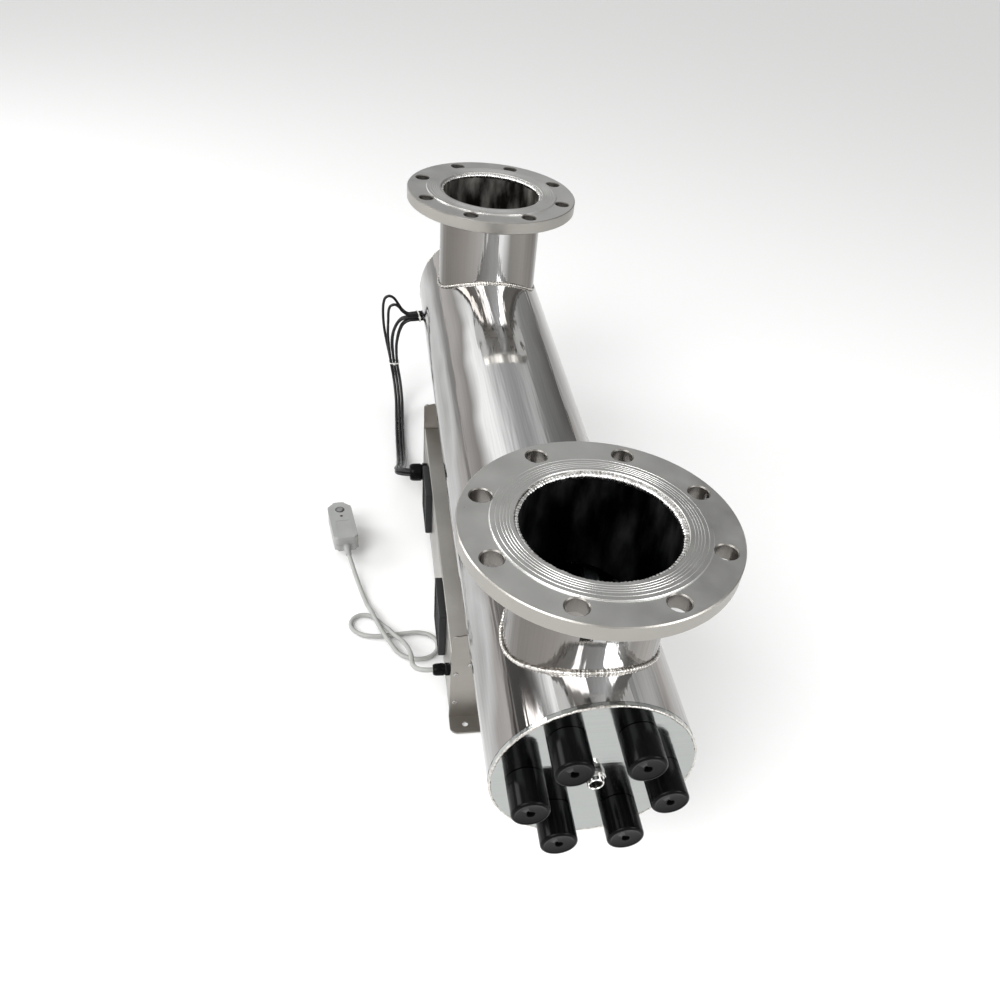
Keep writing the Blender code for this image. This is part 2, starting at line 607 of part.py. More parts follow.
# ---------------------------------------------------------------- lamps
def make_lamps():
    sleeve = turned_mesh("quartz_sleeve", ring_profile(SLEEVE_RADIUS - SLEEVE_WALL, SLEEVE_RADIUS,
                                                       -SLEEVE_HALF, SLEEVE_HALF), LAMP_SIDES)
    glass_half = LAMP_HALF - LAMP_PIN_LENGTH
    lamp_profile = [
        (0, -LAMP_HALF), (LAMP_PIN_RADIUS, -LAMP_HALF), (LAMP_PIN_RADIUS, -glass_half),
        (LAMP_RADIUS, -glass_half), (LAMP_RADIUS, glass_half),
        (LAMP_PIN_RADIUS, glass_half), (LAMP_PIN_RADIUS, LAMP_HALF), (0, LAMP_HALF),
    ]
    lamp_mesh = turned_mesh("uv_lamp", lamp_profile, ROD_SIDES)
    inner = CAP_LENGTH - CAP_FACE
    cap_profile = [
        (CAP_BORE, GAP), (CAP_RADIUS, GAP), (CAP_RADIUS, CAP_LENGTH - CAP_EDGE),
        (CAP_RADIUS - CAP_EDGE, CAP_LENGTH), (CAP_HOLE_RADIUS, CAP_LENGTH),
        (CAP_HOLE_RADIUS, inner), (CAP_BORE, inner),
    ]
    cap_mesh = turned_mesh("lamp_cap", cap_profile, LAMP_SIDES)
    for lamp in range(LAMPS):
        x, z = lamp_place(lamp)
        number = str(lamp + 1)
        add_object("quartz_sleeve_" + number, sleeve, "quartz", along_y(x, 0, z))
        add_object("uv_lamp_" + number, lamp_mesh, "lamp_glass", along_y(x, 0, z))
        add_object("front_cap_" + number, cap_mesh, "black_rubber", along_minus_y(x, -HALF_LENGTH, z))
        add_object("rear_cap_" + number, cap_mesh, "black_rubber", along_y(x, HALF_LENGTH, z))


# ---------------------------------------------------------------- saddles
def make_saddle(name, y, outward):
    """Upright plate with a round seat for the chamber and a foot bent away from the box."""
    corners = [
        (-SADDLE_HALF_WIDTH, 0, 0), (SADDLE_HALF_WIDTH, 0, 0),
        (SADDLE_HALF_WIDTH, SADDLE_TOP, SADDLE_CORNER), (-SADDLE_HALF_WIDTH, SADDLE_TOP, SADDLE_CORNER),
    ]
    half = SADDLE_PLATE / 2
    upright = mesh_of(name, lambda shape: extruded(shape, rounded_outline(corners), -half, half))
    saddle = add_object(name, upright, "brushed_steel", along_minus_y(0, y, 0))
    foot_end = half + FOOT_LENGTH
    foot_corners = [
        (-SADDLE_HALF_WIDTH, 0, 0), (SADDLE_HALF_WIDTH, 0, 0),
        (SADDLE_HALF_WIDTH, foot_end, FOOT_CORNER), (-SADDLE_HALF_WIDTH, foot_end, FOOT_CORNER),
    ]
    foot = mesh_of(name + "_foot", lambda shape: extruded(shape, rounded_outline(foot_corners), 0, SADDLE_PLATE))
    foot_place = Matrix.Translation((0, y, 0)) @ Matrix.Diagonal((1, outward, 1, 1))
    foot.transform(foot_place)
    if outward < 0:
        foot.flip_normals()
    boolean(saddle, add_tool(name + "_foot", foot), "UNION")
    seat = rod_profile(CHAMBER_RADIUS + GAP, -FOOT_LENGTH / 2, FOOT_LENGTH / 2)
    seat_mesh = turned_mesh(name + "_seat", seat, CHAMBER_SIDES)
    boolean(saddle, add_tool(name + "_seat", seat_mesh, along_y(0, y, AXIS_HEIGHT)))

    def slots(shape):
        for side in (-1, 1):
            before = set(shape.verts)
            turned(shape, rod_profile(FOOT_SLOT_RADIUS, -SADDLE_PLATE, 2 * SADDLE_PLATE), HOLE_SIDES)
            spot = (side * (SADDLE_HALF_WIDTH - FOOT_SLOT_INSET), y + outward * (half + FOOT_LENGTH / 2), 0)
            bmesh.ops.translate(shape, vec=spot, verts=[v for v in shape.verts if v not in before])

    boolean(saddle, add_tool(name + "_slots", mesh_of(name + "_slots", slots)))


# ---------------------------------------------------------------- control box
def make_box():
    """Folded housing, open below, with the fan and cable openings in its left wall."""
    low = (-BOX_HALF_WIDTH, -BOX_HALF_LENGTH, BOX_BOTTOM + BOX_WALL + GAP)
    high = (BOX_HALF_WIDTH, BOX_HALF_LENGTH, BOX_TOP)
    box = add_object("control_box", block_mesh("control_box", *slab_between(low, high)), "brushed_steel")
    inner_low = (low[0] + BOX_WALL, low[1] + BOX_WALL, BOX_BOTTOM - BOX_WALL)
    inner_high = (high[0] - BOX_WALL, high[1] - BOX_WALL, high[2] - BOX_WALL)
    boolean(box, add_tool("box_inside", block_mesh("box_inside", *slab_between(inner_low, inner_high))))
    holes = [("fan_hole_front", FAN_BORE_RADIUS, FAN_YS[0], FAN_Z, FAN_SIDES),
             ("fan_hole_rear", FAN_BORE_RADIUS, FAN_YS[1], FAN_Z, FAN_SIDES),
             ("mains_hole", gland_spigot(MAINS_GLAND_RADIUS) + GAP, MAINS_GLAND_Y, GLAND_Z, SMALL_SIDES),
             ("loom_hole", gland_spigot(LOOM_GLAND_RADIUS) + GAP, LOOM_GLAND_Y, GLAND_Z, SMALL_SIDES)]
    for name, radius, y, z, segments in holes:
        rod = turned_mesh(name, rod_profile(radius, -4 * BOX_WALL, 4 * BOX_WALL), segments)
        boolean(box, add_tool(name, rod, along_minus_x(-BOX_HALF_WIDTH, y, z)))
    low = (-BOX_HALF_WIDTH, -BOX_HALF_LENGTH, BOX_BOTTOM)
    high = (BOX_HALF_WIDTH, BOX_HALF_LENGTH, BOX_BOTTOM + BOX_WALL)
    add_object("box_bottom_cover", block_mesh("box_bottom_cover", *slab_between(low, high)), "brushed_steel")


def make_ballasts():
    floor = BOX_BOTTOM + BOX_WALL + GAP
    mesh = block_mesh("ballast", BALLAST_SIZE, (0, 0, BALLAST_SIZE[2] / 2))
    reach = BOX_HALF_LENGTH - BALLAST_INSET
    for name, y in (("front_ballast", -reach), ("rear_ballast", reach)):
        add_object(name, mesh, "ballast_case", Matrix.Translation((BALLAST_X, y, floor)))


def make_fan(side, y):
    """Square cover outside the box wall; frame and rotor inside it, all about one axis along X."""
    wall_outside = -BOX_HALF_WIDTH - GAP
    cover = add_object(side + "_fan_cover", block_mesh("fan_cover", (FAN_COVER, FAN_COVER, FAN_COVER_DEPTH),
                                                       (0, 0, FAN_COVER_DEPTH / 2)),
                       "black_plastic", along_minus_x(wall_outside, y, FAN_Z))
    inside = FAN_COVER - 2 * COVER_WALL
    hollow = block_mesh("cover_hollow", (inside, inside, FAN_COVER_DEPTH),
                        (0, 0, FAN_COVER_DEPTH / 2 - COVER_WALL))
    boolean(cover, add_tool(side + "_cover_hollow", hollow, along_minus_x(wall_outside, y, FAN_Z)))

    def slots(shape):
        pitch = inside / COVER_SLOTS
        for slot in range(COVER_SLOTS):
            height = (slot - (COVER_SLOTS - 1) / 2) * pitch
            size = (COVER_SLOT_HEIGHT, inside - 2 * COVER_WALL, 4 * COVER_WALL)
            block(shape, size, (height, 0, FAN_COVER_DEPTH))

    boolean(cover, add_tool(side + "_cover_slots", mesh_of("cover_slots", slots),
                            along_minus_x(wall_outside, y, FAN_Z)))
    wall_inside = -BOX_HALF_WIDTH + BOX_WALL + GAP
    back = wall_inside + FAN_DEPTH
    place = along_minus_x(back, y, FAN_Z)
    frame = add_object(side + "_fan_frame", block_mesh("fan_frame", (FAN_FRAME, FAN_FRAME, FAN_DEPTH),
                                                       (0, 0, FAN_DEPTH / 2)), "black_plastic", place)
    bore = turned_mesh("fan_bore", rod_profile(FAN_BORE_RADIUS, STRUT, 2 * FAN_DEPTH), FAN_SIDES)
    boolean(frame, add_tool(side + "_fan_bore", bore, place))

    def windows(shape):
        for quarter in range(4):
            before = set(shape.verts)
            reach = FAN_BORE_RADIUS - RUNNING
            inner = FAN_HUB_RADIUS + RUNNING
            sweep = [STRUT_ANGLE / 2 + (math.pi / 2 - STRUT_ANGLE) * step / 5 for step in range(6)]
            outline = [(reach * math.cos(a), reach * math.sin(a)) for a in sweep]
            outline += [(inner * math.cos(a), inner * math.sin(a)) for a in reversed(sweep)]
            extruded(shape, outline, -STRUT, 2 * STRUT)
            new = [v for v in shape.verts if v not in before]
            turn = Matrix.Rotation(quarter * math.pi / 2, 3, "Z")
            bmesh.ops.rotate(shape, cent=(0, 0, 0), matrix=turn, verts=new)

    boolean(frame, add_tool(side + "_fan_windows", mesh_of("fan_windows", windows), place))
    make_rotor(side, y, back)


def make_rotor(side, y, back):
    """Hub with pitched blades, turning about X in front of the motor bracket."""
    depth = FAN_DEPTH - STRUT - 2 * RUNNING - ROTOR_INSET
    middle = back - STRUT - RUNNING - depth / 2
    place = along_minus_x(middle, y, FAN_Z)
    hub = turned_mesh("fan_hub", rod_profile(FAN_HUB_RADIUS, -depth / 2, depth / 2), SMALL_SIDES)
    rotor = add_object(side + "_fan_rotor", hub, "black_plastic", place)
    tip = FAN_BORE_RADIUS - BLADE_TIP_CLEARANCE

    def blades(shape):
        for blade in range(FAN_BLADES):
            before = set(shape.verts)
            root = FAN_HUB_RADIUS * 0.8
            block(shape, (tip - root, BLADE_CHORD, BLADE_THICKNESS), ((tip + root) / 2, 0, 0))
            new = [v for v in shape.verts if v not in before]
            pitch = Matrix.Rotation(BLADE_PITCH, 3, "X")
            turn = Matrix.Rotation(2 * math.pi * blade / FAN_BLADES, 3, "Z")
            bmesh.ops.rotate(shape, cent=(0, 0, 0), matrix=pitch, verts=new)
            bmesh.ops.rotate(shape, cent=(0, 0, 0), matrix=turn, verts=new)

    boolean(rotor, add_tool(side + "_fan_blades", mesh_of("fan_blades", blades), place), "UNION")
    trim = turned_mesh("blade_trim", ring_profile(tip, 2 * tip, -FAN_DEPTH, FAN_DEPTH), PORT_SIDES)
    boolean(rotor, add_tool(side + "_blade_trim", trim, place))


# ---------------------------------------------------------------- glands, leads, ties
def gland_spigot(radius):
    return 0.72 * radius


def make_gland(name, y, radius, length, bore):
    """Cable gland: spigot through the box wall, lock nut, domed nut."""
    spigot = gland_spigot(radius)
    profile = [
        (bore, -GLAND_SPIGOT), (spigot, -GLAND_SPIGOT), (spigot, GAP), (radius, GAP), (radius, 0.30 * length),
        (0.88 * radius, 0.34 * length), (0.95 * radius, 0.40 * length), (0.95 * radius, 0.75 * length),
        (max(0.66 * radius, bore + 0.0008), length), (bore, length),
    ]
    add_object(name, turned_mesh(name, profile, SMALL_SIDES), "black_plastic",
               along_minus_x(-BOX_HALF_WIDTH, y, GLAND_Z))


def make_cables():
    mains = MAINS_ROUTE + [tuple(plug_point(0, -PLUG_SIZE[1] / 2 - GAP, CORD_ENTRY_Z))]
    tube("mains_cable", mains, MAINS_RADIUS, "grey_lead")
    for lead, (seat, lamp, arch, rear_run) in enumerate(LEAD_ROUTES):
        tube("lamp_lead_" + str(lead + 1), lead_points(seat, lamp, arch, rear_run), LEAD_RADIUS, "black_lead")
    make_tie("bundle_tie", LOOM_ROUTE, len(LOOM_ROUTE) - 1, LOOM_END, BUNDLE_TIE_SLACK)
    make_tie("rear_tie", REAR_ROUTE, 2, REAR_END, REAR_TIE_SLACK)


def make_tie(name, route, spot, end_directions, slack):
    """Flat band pulled around the three-by-two bundle, with its square lock."""
    across, over = bundle_frames(route, *end_directions)[spot]
    half_wide = LEAD_PITCH + LEAD_RADIUS + slack
    half_high = LEAD_PITCH / 2 + LEAD_RADIUS + slack

    def outline(extra):
        wide = half_wide + extra
        high = half_high + extra
        turn = LEAD_RADIUS + slack + extra
        corners = [(-wide, -high, turn), (wide, -high, turn), (wide, high, turn), (-wide, high, turn)]
        return rounded_outline(corners, 3)

    def build(shape):
        rings = []
        for extra, z in ((0, -1), (TIE_THICKNESS, -1), (TIE_THICKNESS, 1), (0, 1)):
            rings.append([shape.verts.new((x, y, z * TIE_WIDTH / 2)) for x, y in outline(extra)])
        for lower, upper in zip(rings, rings[1:] + rings[:1]):
            for step in range(len(lower)):
                after = (step + 1) % len(lower)
                shape.faces.new((lower[step], lower[after], upper[after], upper[step]))

    axis = across.cross(over)
    place = Matrix((across, over, axis)).transposed().to_4x4()
    place.translation = Vector(route[spot])
    tie = add_object(name, mesh_of(name, build), "white_nylon", place)
    lock = block_mesh(name + "_lock", TIE_LOCK, (0, half_high + (TIE_THICKNESS + TIE_LOCK[1]) / 2, 0))
    boolean(tie, add_tool(name + "_lock", lock, place), "UNION")


# ---------------------------------------------------------------- plug
def plug_place(z=0.0):
    x, y = PLUG_CENTRE
    return Matrix.Translation((x, y, z)) @ Matrix.Rotation(PLUG_YAW, 4, "Z")


def plug_point(x, y, z):
    return plug_place() @ Vector((x, y, z))


def make_plug():
    """Leakage-protection plug standing on its three flat pins, its face with the test button up."""
    width, length, height = PLUG_SIZE
    corners = [
        (-width / 2, -length / 2, PLUG_NEAR_CORNER), (width / 2, -length / 2, PLUG_NEAR_CORNER),
        (width / 2, length / 2, PLUG_FAR_CORNER), (-width / 2, length / 2, PLUG_FAR_CORNER),
    ]
    body_mesh = mesh_of("plug_body", lambda shape: extruded(shape, rounded_outline(corners, 5), 0, height))
    body = add_object("plug_body", body_mesh, "grey_plastic", plug_place(PLUG_BOTTOM))
    bevel = body.modifiers.new("edges", "BEVEL")
    bevel.width = PLUG_EDGE
    bevel.segments = 2
    bevel.limit_method = "ANGLE"
    bevel.angle_limit = math.radians(60)
    well_depth = BUTTON_DEPTH + BUTTON_TRAVEL + BUTTON_WELL_SPARE
    well = rod_profile(BUTTON_RADIUS + RUNNING, height - well_depth, height + BUTTON_DEPTH)
    place = plug_place(PLUG_BOTTOM) @ Matrix.Translation((0, BUTTON_Y, 0))
    boolean(body, add_tool("button_well", turned_mesh("button_well", well, SMALL_SIDES), place))
    button = rod_profile(BUTTON_RADIUS, 0, BUTTON_DEPTH + BUTTON_PROUD)
    button_place = plug_place(PLUG_TOP - BUTTON_DEPTH) @ Matrix.Translation((0, BUTTON_Y, 0))
    add_object("test_button", turned_mesh("test_button", button, SMALL_SIDES), "grey_plastic", button_place)
    thickness, breadth = PIN_SIZE
    for name, x, y, turn in PIN_PLACES:
        pin = block_mesh(name, (thickness, breadth, PIN_LENGTH), (0, 0, PIN_LENGTH / 2))
        place = plug_place(PLUG_BOTTOM - PIN_LENGTH - GAP) @ Matrix.Translation((x, y, 0))
        add_object(name, pin, "brass", place @ Matrix.Rotation(math.radians(turn), 4, "Z"))


def main():
    clear_scene()
    make_chamber()
    make_end_plate("front_end_plate", along_minus_y, -HALF_LENGTH, CENTRE_NOSE_RADIUS)
    make_end_plate("rear_end_plate", along_y, HALF_LENGTH, None)
    make_centre_fitting()
    for name, y in zip(("front", "rear"), PORT_YS):
        make_neck(name + "_port_neck", y)
        make_flange(name + "_port_flange", y)
    make_lamps()
    make_saddle("front_saddle", SADDLE_YS[0], -1)
    make_saddle("rear_saddle", SADDLE_YS[1], 1)
    make_box()
    make_ballasts()
    make_fan("front", FAN_YS[0])
    make_fan("rear", FAN_YS[1])
    make_gland("mains_gland", MAINS_GLAND_Y, MAINS_GLAND_RADIUS, MAINS_GLAND_LENGTH, MAINS_RADIUS + GAP)
    make_gland("loom_gland", LOOM_GLAND_Y, LOOM_GLAND_RADIUS, LOOM_GLAND_LENGTH, LOOM_BORE)
    make_cables()
    make_plug()


main()
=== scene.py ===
"""Looks of the ultraviolet clarifier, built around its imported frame. Metres, +Z up, chamber along Y."""
import math

import bmesh
import bpy
from mathutils import Matrix, Vector, noise


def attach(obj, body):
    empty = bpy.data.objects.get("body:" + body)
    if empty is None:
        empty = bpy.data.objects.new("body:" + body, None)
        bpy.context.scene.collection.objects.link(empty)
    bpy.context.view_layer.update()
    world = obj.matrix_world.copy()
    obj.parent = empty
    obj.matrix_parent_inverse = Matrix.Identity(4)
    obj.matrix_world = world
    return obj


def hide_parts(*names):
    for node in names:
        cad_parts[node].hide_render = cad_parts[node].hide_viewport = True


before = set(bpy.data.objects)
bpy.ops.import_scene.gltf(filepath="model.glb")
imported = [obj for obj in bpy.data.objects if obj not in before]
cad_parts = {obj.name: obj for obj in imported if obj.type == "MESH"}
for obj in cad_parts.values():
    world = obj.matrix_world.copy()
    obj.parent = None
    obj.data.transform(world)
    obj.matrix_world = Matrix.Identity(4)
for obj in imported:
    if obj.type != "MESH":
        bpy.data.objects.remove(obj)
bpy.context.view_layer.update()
ROOT = "clarifier"
scene = bpy.context.scene

# ---------------------------------------- sizes shared with the CAD model
CHAMBER_HALF = 0.566            # half length
CHAMBER_R = 0.110
AXIS = 0.249                    # chamber axis height
PORT_Y = 0.4395
NECK_R = 0.08415
NECK_IN = 0.08115
TOP = 0.481                     # raised faces
FLANGE_R = 0.1397
FACE_R = 0.10795                # raised face
BOLT_CIRCLE = 0.12065
SEAT_GAP = 0.0003               # between welded pieces
END_PLATE = 0.006
HEAVY_WELD_AT = math.radians(52)
LAMP_CIRCLE = 0.0725
BOX_X = 0.118
BOX_HALF = 0.28245
BOX_TOP = 0.121
SADDLE_Y = 0.284
FAN_Z = 0.0765
SLAT_SLOPE = math.radians(-38)
FAN_YS = {"front": -0.1550, "rear": 0.1300}
GLAND_Z = 0.084
MAINS_Y = -0.26605
LOOM_Y = 0.19905
CABLE_X = -0.1215
PLUG = (-0.2670, 0.1165)
PLUG_YAW = math.radians(8.5)
PLUG_BOTTOM = 0.0183
BUTTON_Y = 0.028                # in the plug
LEAD_RADIUS = 0.0027
MAINS_RADIUS = 0.0035


# ---------------------------------------- camera
def make_camera():
    data = bpy.data.cameras.new("view")
    data.lens = 30.76
    data.sensor_width = 36
    data.shift_x = -0.0408
    data.shift_y = 0.1142
    camera = bpy.data.objects.new("view", data)
    scene.collection.objects.link(camera)
    azimuth, elevation, roll = math.radians(15.10), math.radians(-44.20), math.radians(8.39)
    turn = (Matrix.Rotation(-azimuth, 4, "Z") @ Matrix.Rotation(math.radians(90) + elevation, 4, "X")
            @ Matrix.Rotation(roll, 4, "Z"))
    camera.matrix_world = Matrix.Translation((-0.2131, -1.0554, 0.9799)) @ turn
    scene.camera = camera


make_camera()
scene.view_settings.view_transform = "Standard"


# ---------------------------------------- materials
def shader_of(name, colour, roughness, metallic=0.0):
    material = bpy.data.materials.new(name)
    material.use_nodes = True
    tree = material.node_tree
    shader = tree.nodes["Principled BSDF"]
    shader.inputs["Base Color"].default_value = (*colour, 1)
    shader.inputs["Roughness"].default_value = roughness
    shader.inputs["Metallic"].default_value = metallic
    return material, tree, shader


def node(tree, kind, **inputs):
    made = tree.nodes.new(kind)
    for key, value in inputs.items():
        made.inputs[key.replace("_", " ")].default_value = value
    return made


def mapped(tree, scale):
    coords = tree.nodes.new("ShaderNodeTexCoord")
    mapping = node(tree, "ShaderNodeMapping", Scale=scale)
    tree.links.new(coords.outputs["Object"], mapping.inputs["Vector"])
    return mapping.outputs["Vector"]


def noise_of(tree, vector, scale, detail=4.0, rough=0.55):
    made = node(tree, "ShaderNodeTexNoise", Scale=scale, Detail=detail, Roughness=rough)
    tree.links.new(vector, made.inputs["Vector"])
    return made.outputs["Fac"]


def ranged(tree, value, low, high, start=0.3, stop=0.7):
    made = tree.nodes.new("ShaderNodeMapRange")
    for key, number in (("From Min", start), ("From Max", stop), ("To Min", low), ("To Max", high)):
        made.inputs[key].default_value = number
    tree.links.new(value, made.inputs["Value"])
    return made.outputs["Result"]


def coloured(tree, value, *stops):
    made = tree.nodes.new("ShaderNodeValToRGB")
    ramp = made.color_ramp
    while len(ramp.elements) < len(stops):
        ramp.elements.new(0.5)
    for element, (place, colour) in zip(ramp.elements, stops):
        element.position = place
        element.color = (*colour, 1)
    tree.links.new(value, made.inputs["Fac"])
    return made.outputs["Color"]


def shaded(tree, shader, value, start, stop, colour, share):
    """Base colour that runs with a value from a share of the colour up to the colour itself."""
    dark = tuple(share * channel for channel in colour)
    tree.links.new(coloured(tree, value, (start, dark), (stop, colour)), shader.inputs["Base Color"])


def bumped(tree, shader, heights):
    """Chain of (value, strength, distance) bumps into the shader's normal."""
    last = None
    for value, strength, distance in heights:
        made = node(tree, "ShaderNodeBump", Strength=strength, Distance=distance)
        tree.links.new(value, made.inputs["Height"])
        if last:
            tree.links.new(last, made.inputs["Normal"])
        last = made.outputs["Normal"]
    tree.links.new(last, shader.inputs["Normal"])


def painted_reflection_bands(tree, axis, low, high, stops):
    """Painted reflection: tint across one local axis, from its low to its high coordinate, as long bands that
    wander a little, standing in for the light and dark things the polished steel reflects.
    """
    coords = tree.nodes.new("ShaderNodeTexCoord")
    split = tree.nodes.new("ShaderNodeSeparateXYZ")
    tree.links.new(coords.outputs["Object"], split.inputs["Vector"])
    place = ranged(tree, split.outputs[axis], 0.0, 1.0, low, high)
    wander = ranged(tree, noise_of(tree, mapped(tree, (6, 6, 2.5)), 1.0, 3.0), -0.05, 0.05)
    total = tree.nodes.new("ShaderNodeMath")
    tree.links.new(place, total.inputs[0])
    tree.links.new(wander, total.inputs[1])
    return coloured(tree, total.outputs["Value"], *stops)


def polished_steel(name, along, tint=(0.80, 0.79, 0.77), low=0.045, high=0.11, wave=0.35, bands=None):
    """Mirror-polished stainless with long rolled waves and faint wipe marks along one direction, and optional
    bands of painted reflection multiplied into its colour.
    """
    material, tree, shader = shader_of(name, tint, low, 1.0)
    stretched = {"x": (2, 40, 40), "y": (40, 1.6, 40), "z": (40, 40, 2.2)}[along]
    fine = {"x": (9, 700, 700), "y": (700, 7, 700), "z": (700, 700, 9)}[along]
    long_waves = noise_of(tree, mapped(tree, stretched), 1.0, 3.0)
    wipes = noise_of(tree, mapped(tree, fine), 1.0, 2.0)
    smears = noise_of(tree, mapped(tree, (14, 9, 14)), 1.0, 5.0)
    tree.links.new(ranged(tree, smears, low, high, 0.35, 0.75), shader.inputs["Roughness"])
    colour = coloured(tree, wipes, (0.3, tuple(0.93 * c for c in tint)), (0.6, tint))
    # painted reflection: the bands darken and lighten the colour where the room's reflections would fall
    if bands:
        mix = tree.nodes.new("ShaderNodeMix")
        mix.data_type = "RGBA"
        mix.blend_type = "MULTIPLY"
        mix.inputs["Factor"].default_value = 1
        tree.links.new(colour, mix.inputs["A"])
        tree.links.new(painted_reflection_bands(tree, *bands), mix.inputs["B"])
        colour = mix.outputs["Result"]
    tree.links.new(colour, shader.inputs["Base Color"])
    bumped(tree, shader, [(long_waves, wave, 0.004), (wipes, 0.05, 0.0004)])
    return material


def turned_steel(name, rings=900.0, tint=(0.74, 0.73, 0.71), low=0.24, high=0.34):
    """Satin machined face, with fine rings about the piece's own Z axis."""
    material, tree, shader = shader_of(name, tint, low, 1.0)
    coords = tree.nodes.new("ShaderNodeTexCoord")
    flat = tree.nodes.new("ShaderNodeVectorMath")
    flat.operation = "MULTIPLY"
    flat.inputs[1].default_value = (1, 1, 0)
    tree.links.new(coords.outputs["Object"], flat.inputs[0])
    length = tree.nodes.new("ShaderNodeVectorMath")
    length.operation = "LENGTH"
    tree.links.new(flat.outputs["Vector"], length.inputs[0])
    spread = tree.nodes.new("ShaderNodeCombineXYZ")
    tree.links.new(length.outputs["Value"], spread.inputs["X"])
    ring = noise_of(tree, spread.outputs["Vector"], rings, 2.0, 0.7)
    cloud = noise_of(tree, mapped(tree, (22, 22, 22)), 1.0, 5.0)
    tree.links.new(ranged(tree, cloud, low, high), shader.inputs["Roughness"])
    shaded(tree, shader, cloud, 0.3, 0.7, tint, 0.90)
    bumped(tree, shader, [(ring, 0.12, 0.0006), (cloud, 0.05, 0.002)])
    return material


def brushed_steel(name, along, tint=(0.34, 0.322, 0.298)):
    material, tree, shader = shader_of(name, tint, 0.34, 1.0)
    fine = {"x": (12, 900, 900), "y": (900, 12, 900), "z": (900, 900, 12)}[along]
    brush = noise_of(tree, mapped(tree, fine), 1.0, 3.0)
    cloud = noise_of(tree, mapped(tree, (9, 9, 9)), 1.0, 4.0)
    tree.links.new(ranged(tree, brush, 0.28, 0.44), shader.inputs["Roughness"])
    shaded(tree, shader, cloud, 0.35, 0.7, tint, 0.82)
    bumped(tree, shader, [(brush, 0.16, 0.0005)])
    return material


def weld_metal(name, tint):
    material, tree, shader = shader_of(name, tint, 0.2, 1.0)
    grain = noise_of(tree, mapped(tree, (260, 260, 260)), 1.0, 4.0)
    tree.links.new(ranged(tree, grain, 0.14, 0.36), shader.inputs["Roughness"])
    colour = coloured(tree, grain, (0.3, (0.34, 0.31, 0.28)), (0.55, tint))
    tree.links.new(colour, shader.inputs["Base Color"])
    bumped(tree, shader, [(grain, 0.5, 0.0012)])
    return material


def inside_with_painted_shade(name, dark, light):
    """Unpolished inner wall, dull and mottled; its dark and light colours are painted shade and painted light
    inside the bore.
    """
    material, tree, shader = shader_of(name, dark, 0.45, 1.0)
    streaks = noise_of(tree, mapped(tree, (34, 34, 12)), 1.0, 5.0)
    tree.links.new(coloured(tree, streaks, (0.38, dark), (0.68, light)), shader.inputs["Base Color"])
    tree.links.new(ranged(tree, streaks, 0.30, 0.55), shader.inputs["Roughness"])
    return material


def moulded(name, colour, roughness=0.35, grain=900.0, strength=0.10, coat=0.0, shine=0.5):
    """Moulded plastic with a fine grain and slight unevenness in its gloss."""
    material, tree, shader = shader_of(name, colour, roughness)
    shader.inputs["Coat Weight"].default_value = coat
    shader.inputs["Specular IOR Level"].default_value = shine
    shader.inputs["Coat Roughness"].default_value = 0.12
    fine = noise_of(tree, mapped(tree, (1, 1, 1)), grain, 2.0)
    cloud = noise_of(tree, mapped(tree, (30, 30, 30)), 1.0, 3.0)
    tree.links.new(ranged(tree, cloud, roughness * 0.85, roughness * 1.2), shader.inputs["Roughness"])
    shaded(tree, shader, cloud, 0.3, 0.7, colour, 0.88)
    bumped(tree, shader, [(fine, strength, 0.0004)])
    return material


def clear_quartz(name, colour, weight):
    material, tree, shader = shader_of(name, colour, 0.05)
    shader.inputs["Transmission Weight"].default_value = weight
    shader.inputs["IOR"].default_value = 1.46
    haze = noise_of(tree, mapped(tree, (20, 3, 20)), 1.0, 3.0)
    tree.links.new(ranged(tree, haze, 0.03, 0.12), shader.inputs["Roughness"])
    return material


# painted reflections across the chamber and the necks: light and dark bands standing in for what the polished
# steel reflects
CHAMBER_PAINTED_REFLECTIONS = (
    (0.0, (0.24, 0.235, 0.23)), (0.035, (0.42, 0.42, 0.42)), (0.07, (0.26, 0.245, 0.235)),
    (0.12, (0.27, 0.255, 0.245)), (0.18, (0.18, 0.168, 0.16)), (0.25, (0.78, 0.78, 0.78)),
    (0.45, (0.84, 0.84, 0.85)), (0.56, (0.72, 0.72, 0.72)), (0.72, (0.70, 0.69, 0.68)),
    (0.80, (0.36, 0.335, 0.315)), (0.87, (0.34, 0.33, 0.32)), (0.93, (0.18, 0.162, 0.15)),
    (1.0, (0.12, 0.115, 0.11)))
NECK_PAINTED_REFLECTIONS = (
    (0.0, (0.17, 0.158, 0.146)), (0.06, (0.15, 0.138, 0.126)), (0.20, (0.21, 0.195, 0.18)),
    (0.34, (0.30, 0.29, 0.28)), (0.52, (0.74, 0.74, 0.74)), (0.62, (0.22, 0.212, 0.20)),
    (0.78, (0.30, 0.28, 0.26)), (0.92, (0.16, 0.145, 0.132)), (1.0, (0.19, 0.176, 0.164)))
CHAMBER = polished_steel("chamber_polish_painted_reflections", "z", tint=(0.88, 0.88, 0.88),
                         bands=("X", -CHAMBER_R, CHAMBER_R, CHAMBER_PAINTED_REFLECTIONS))
NECK = polished_steel("neck_polish_painted_reflections", "z", tint=(0.86, 0.86, 0.86), wave=0.45,
                      bands=("X", -NECK_R, NECK_R, NECK_PAINTED_REFLECTIONS))
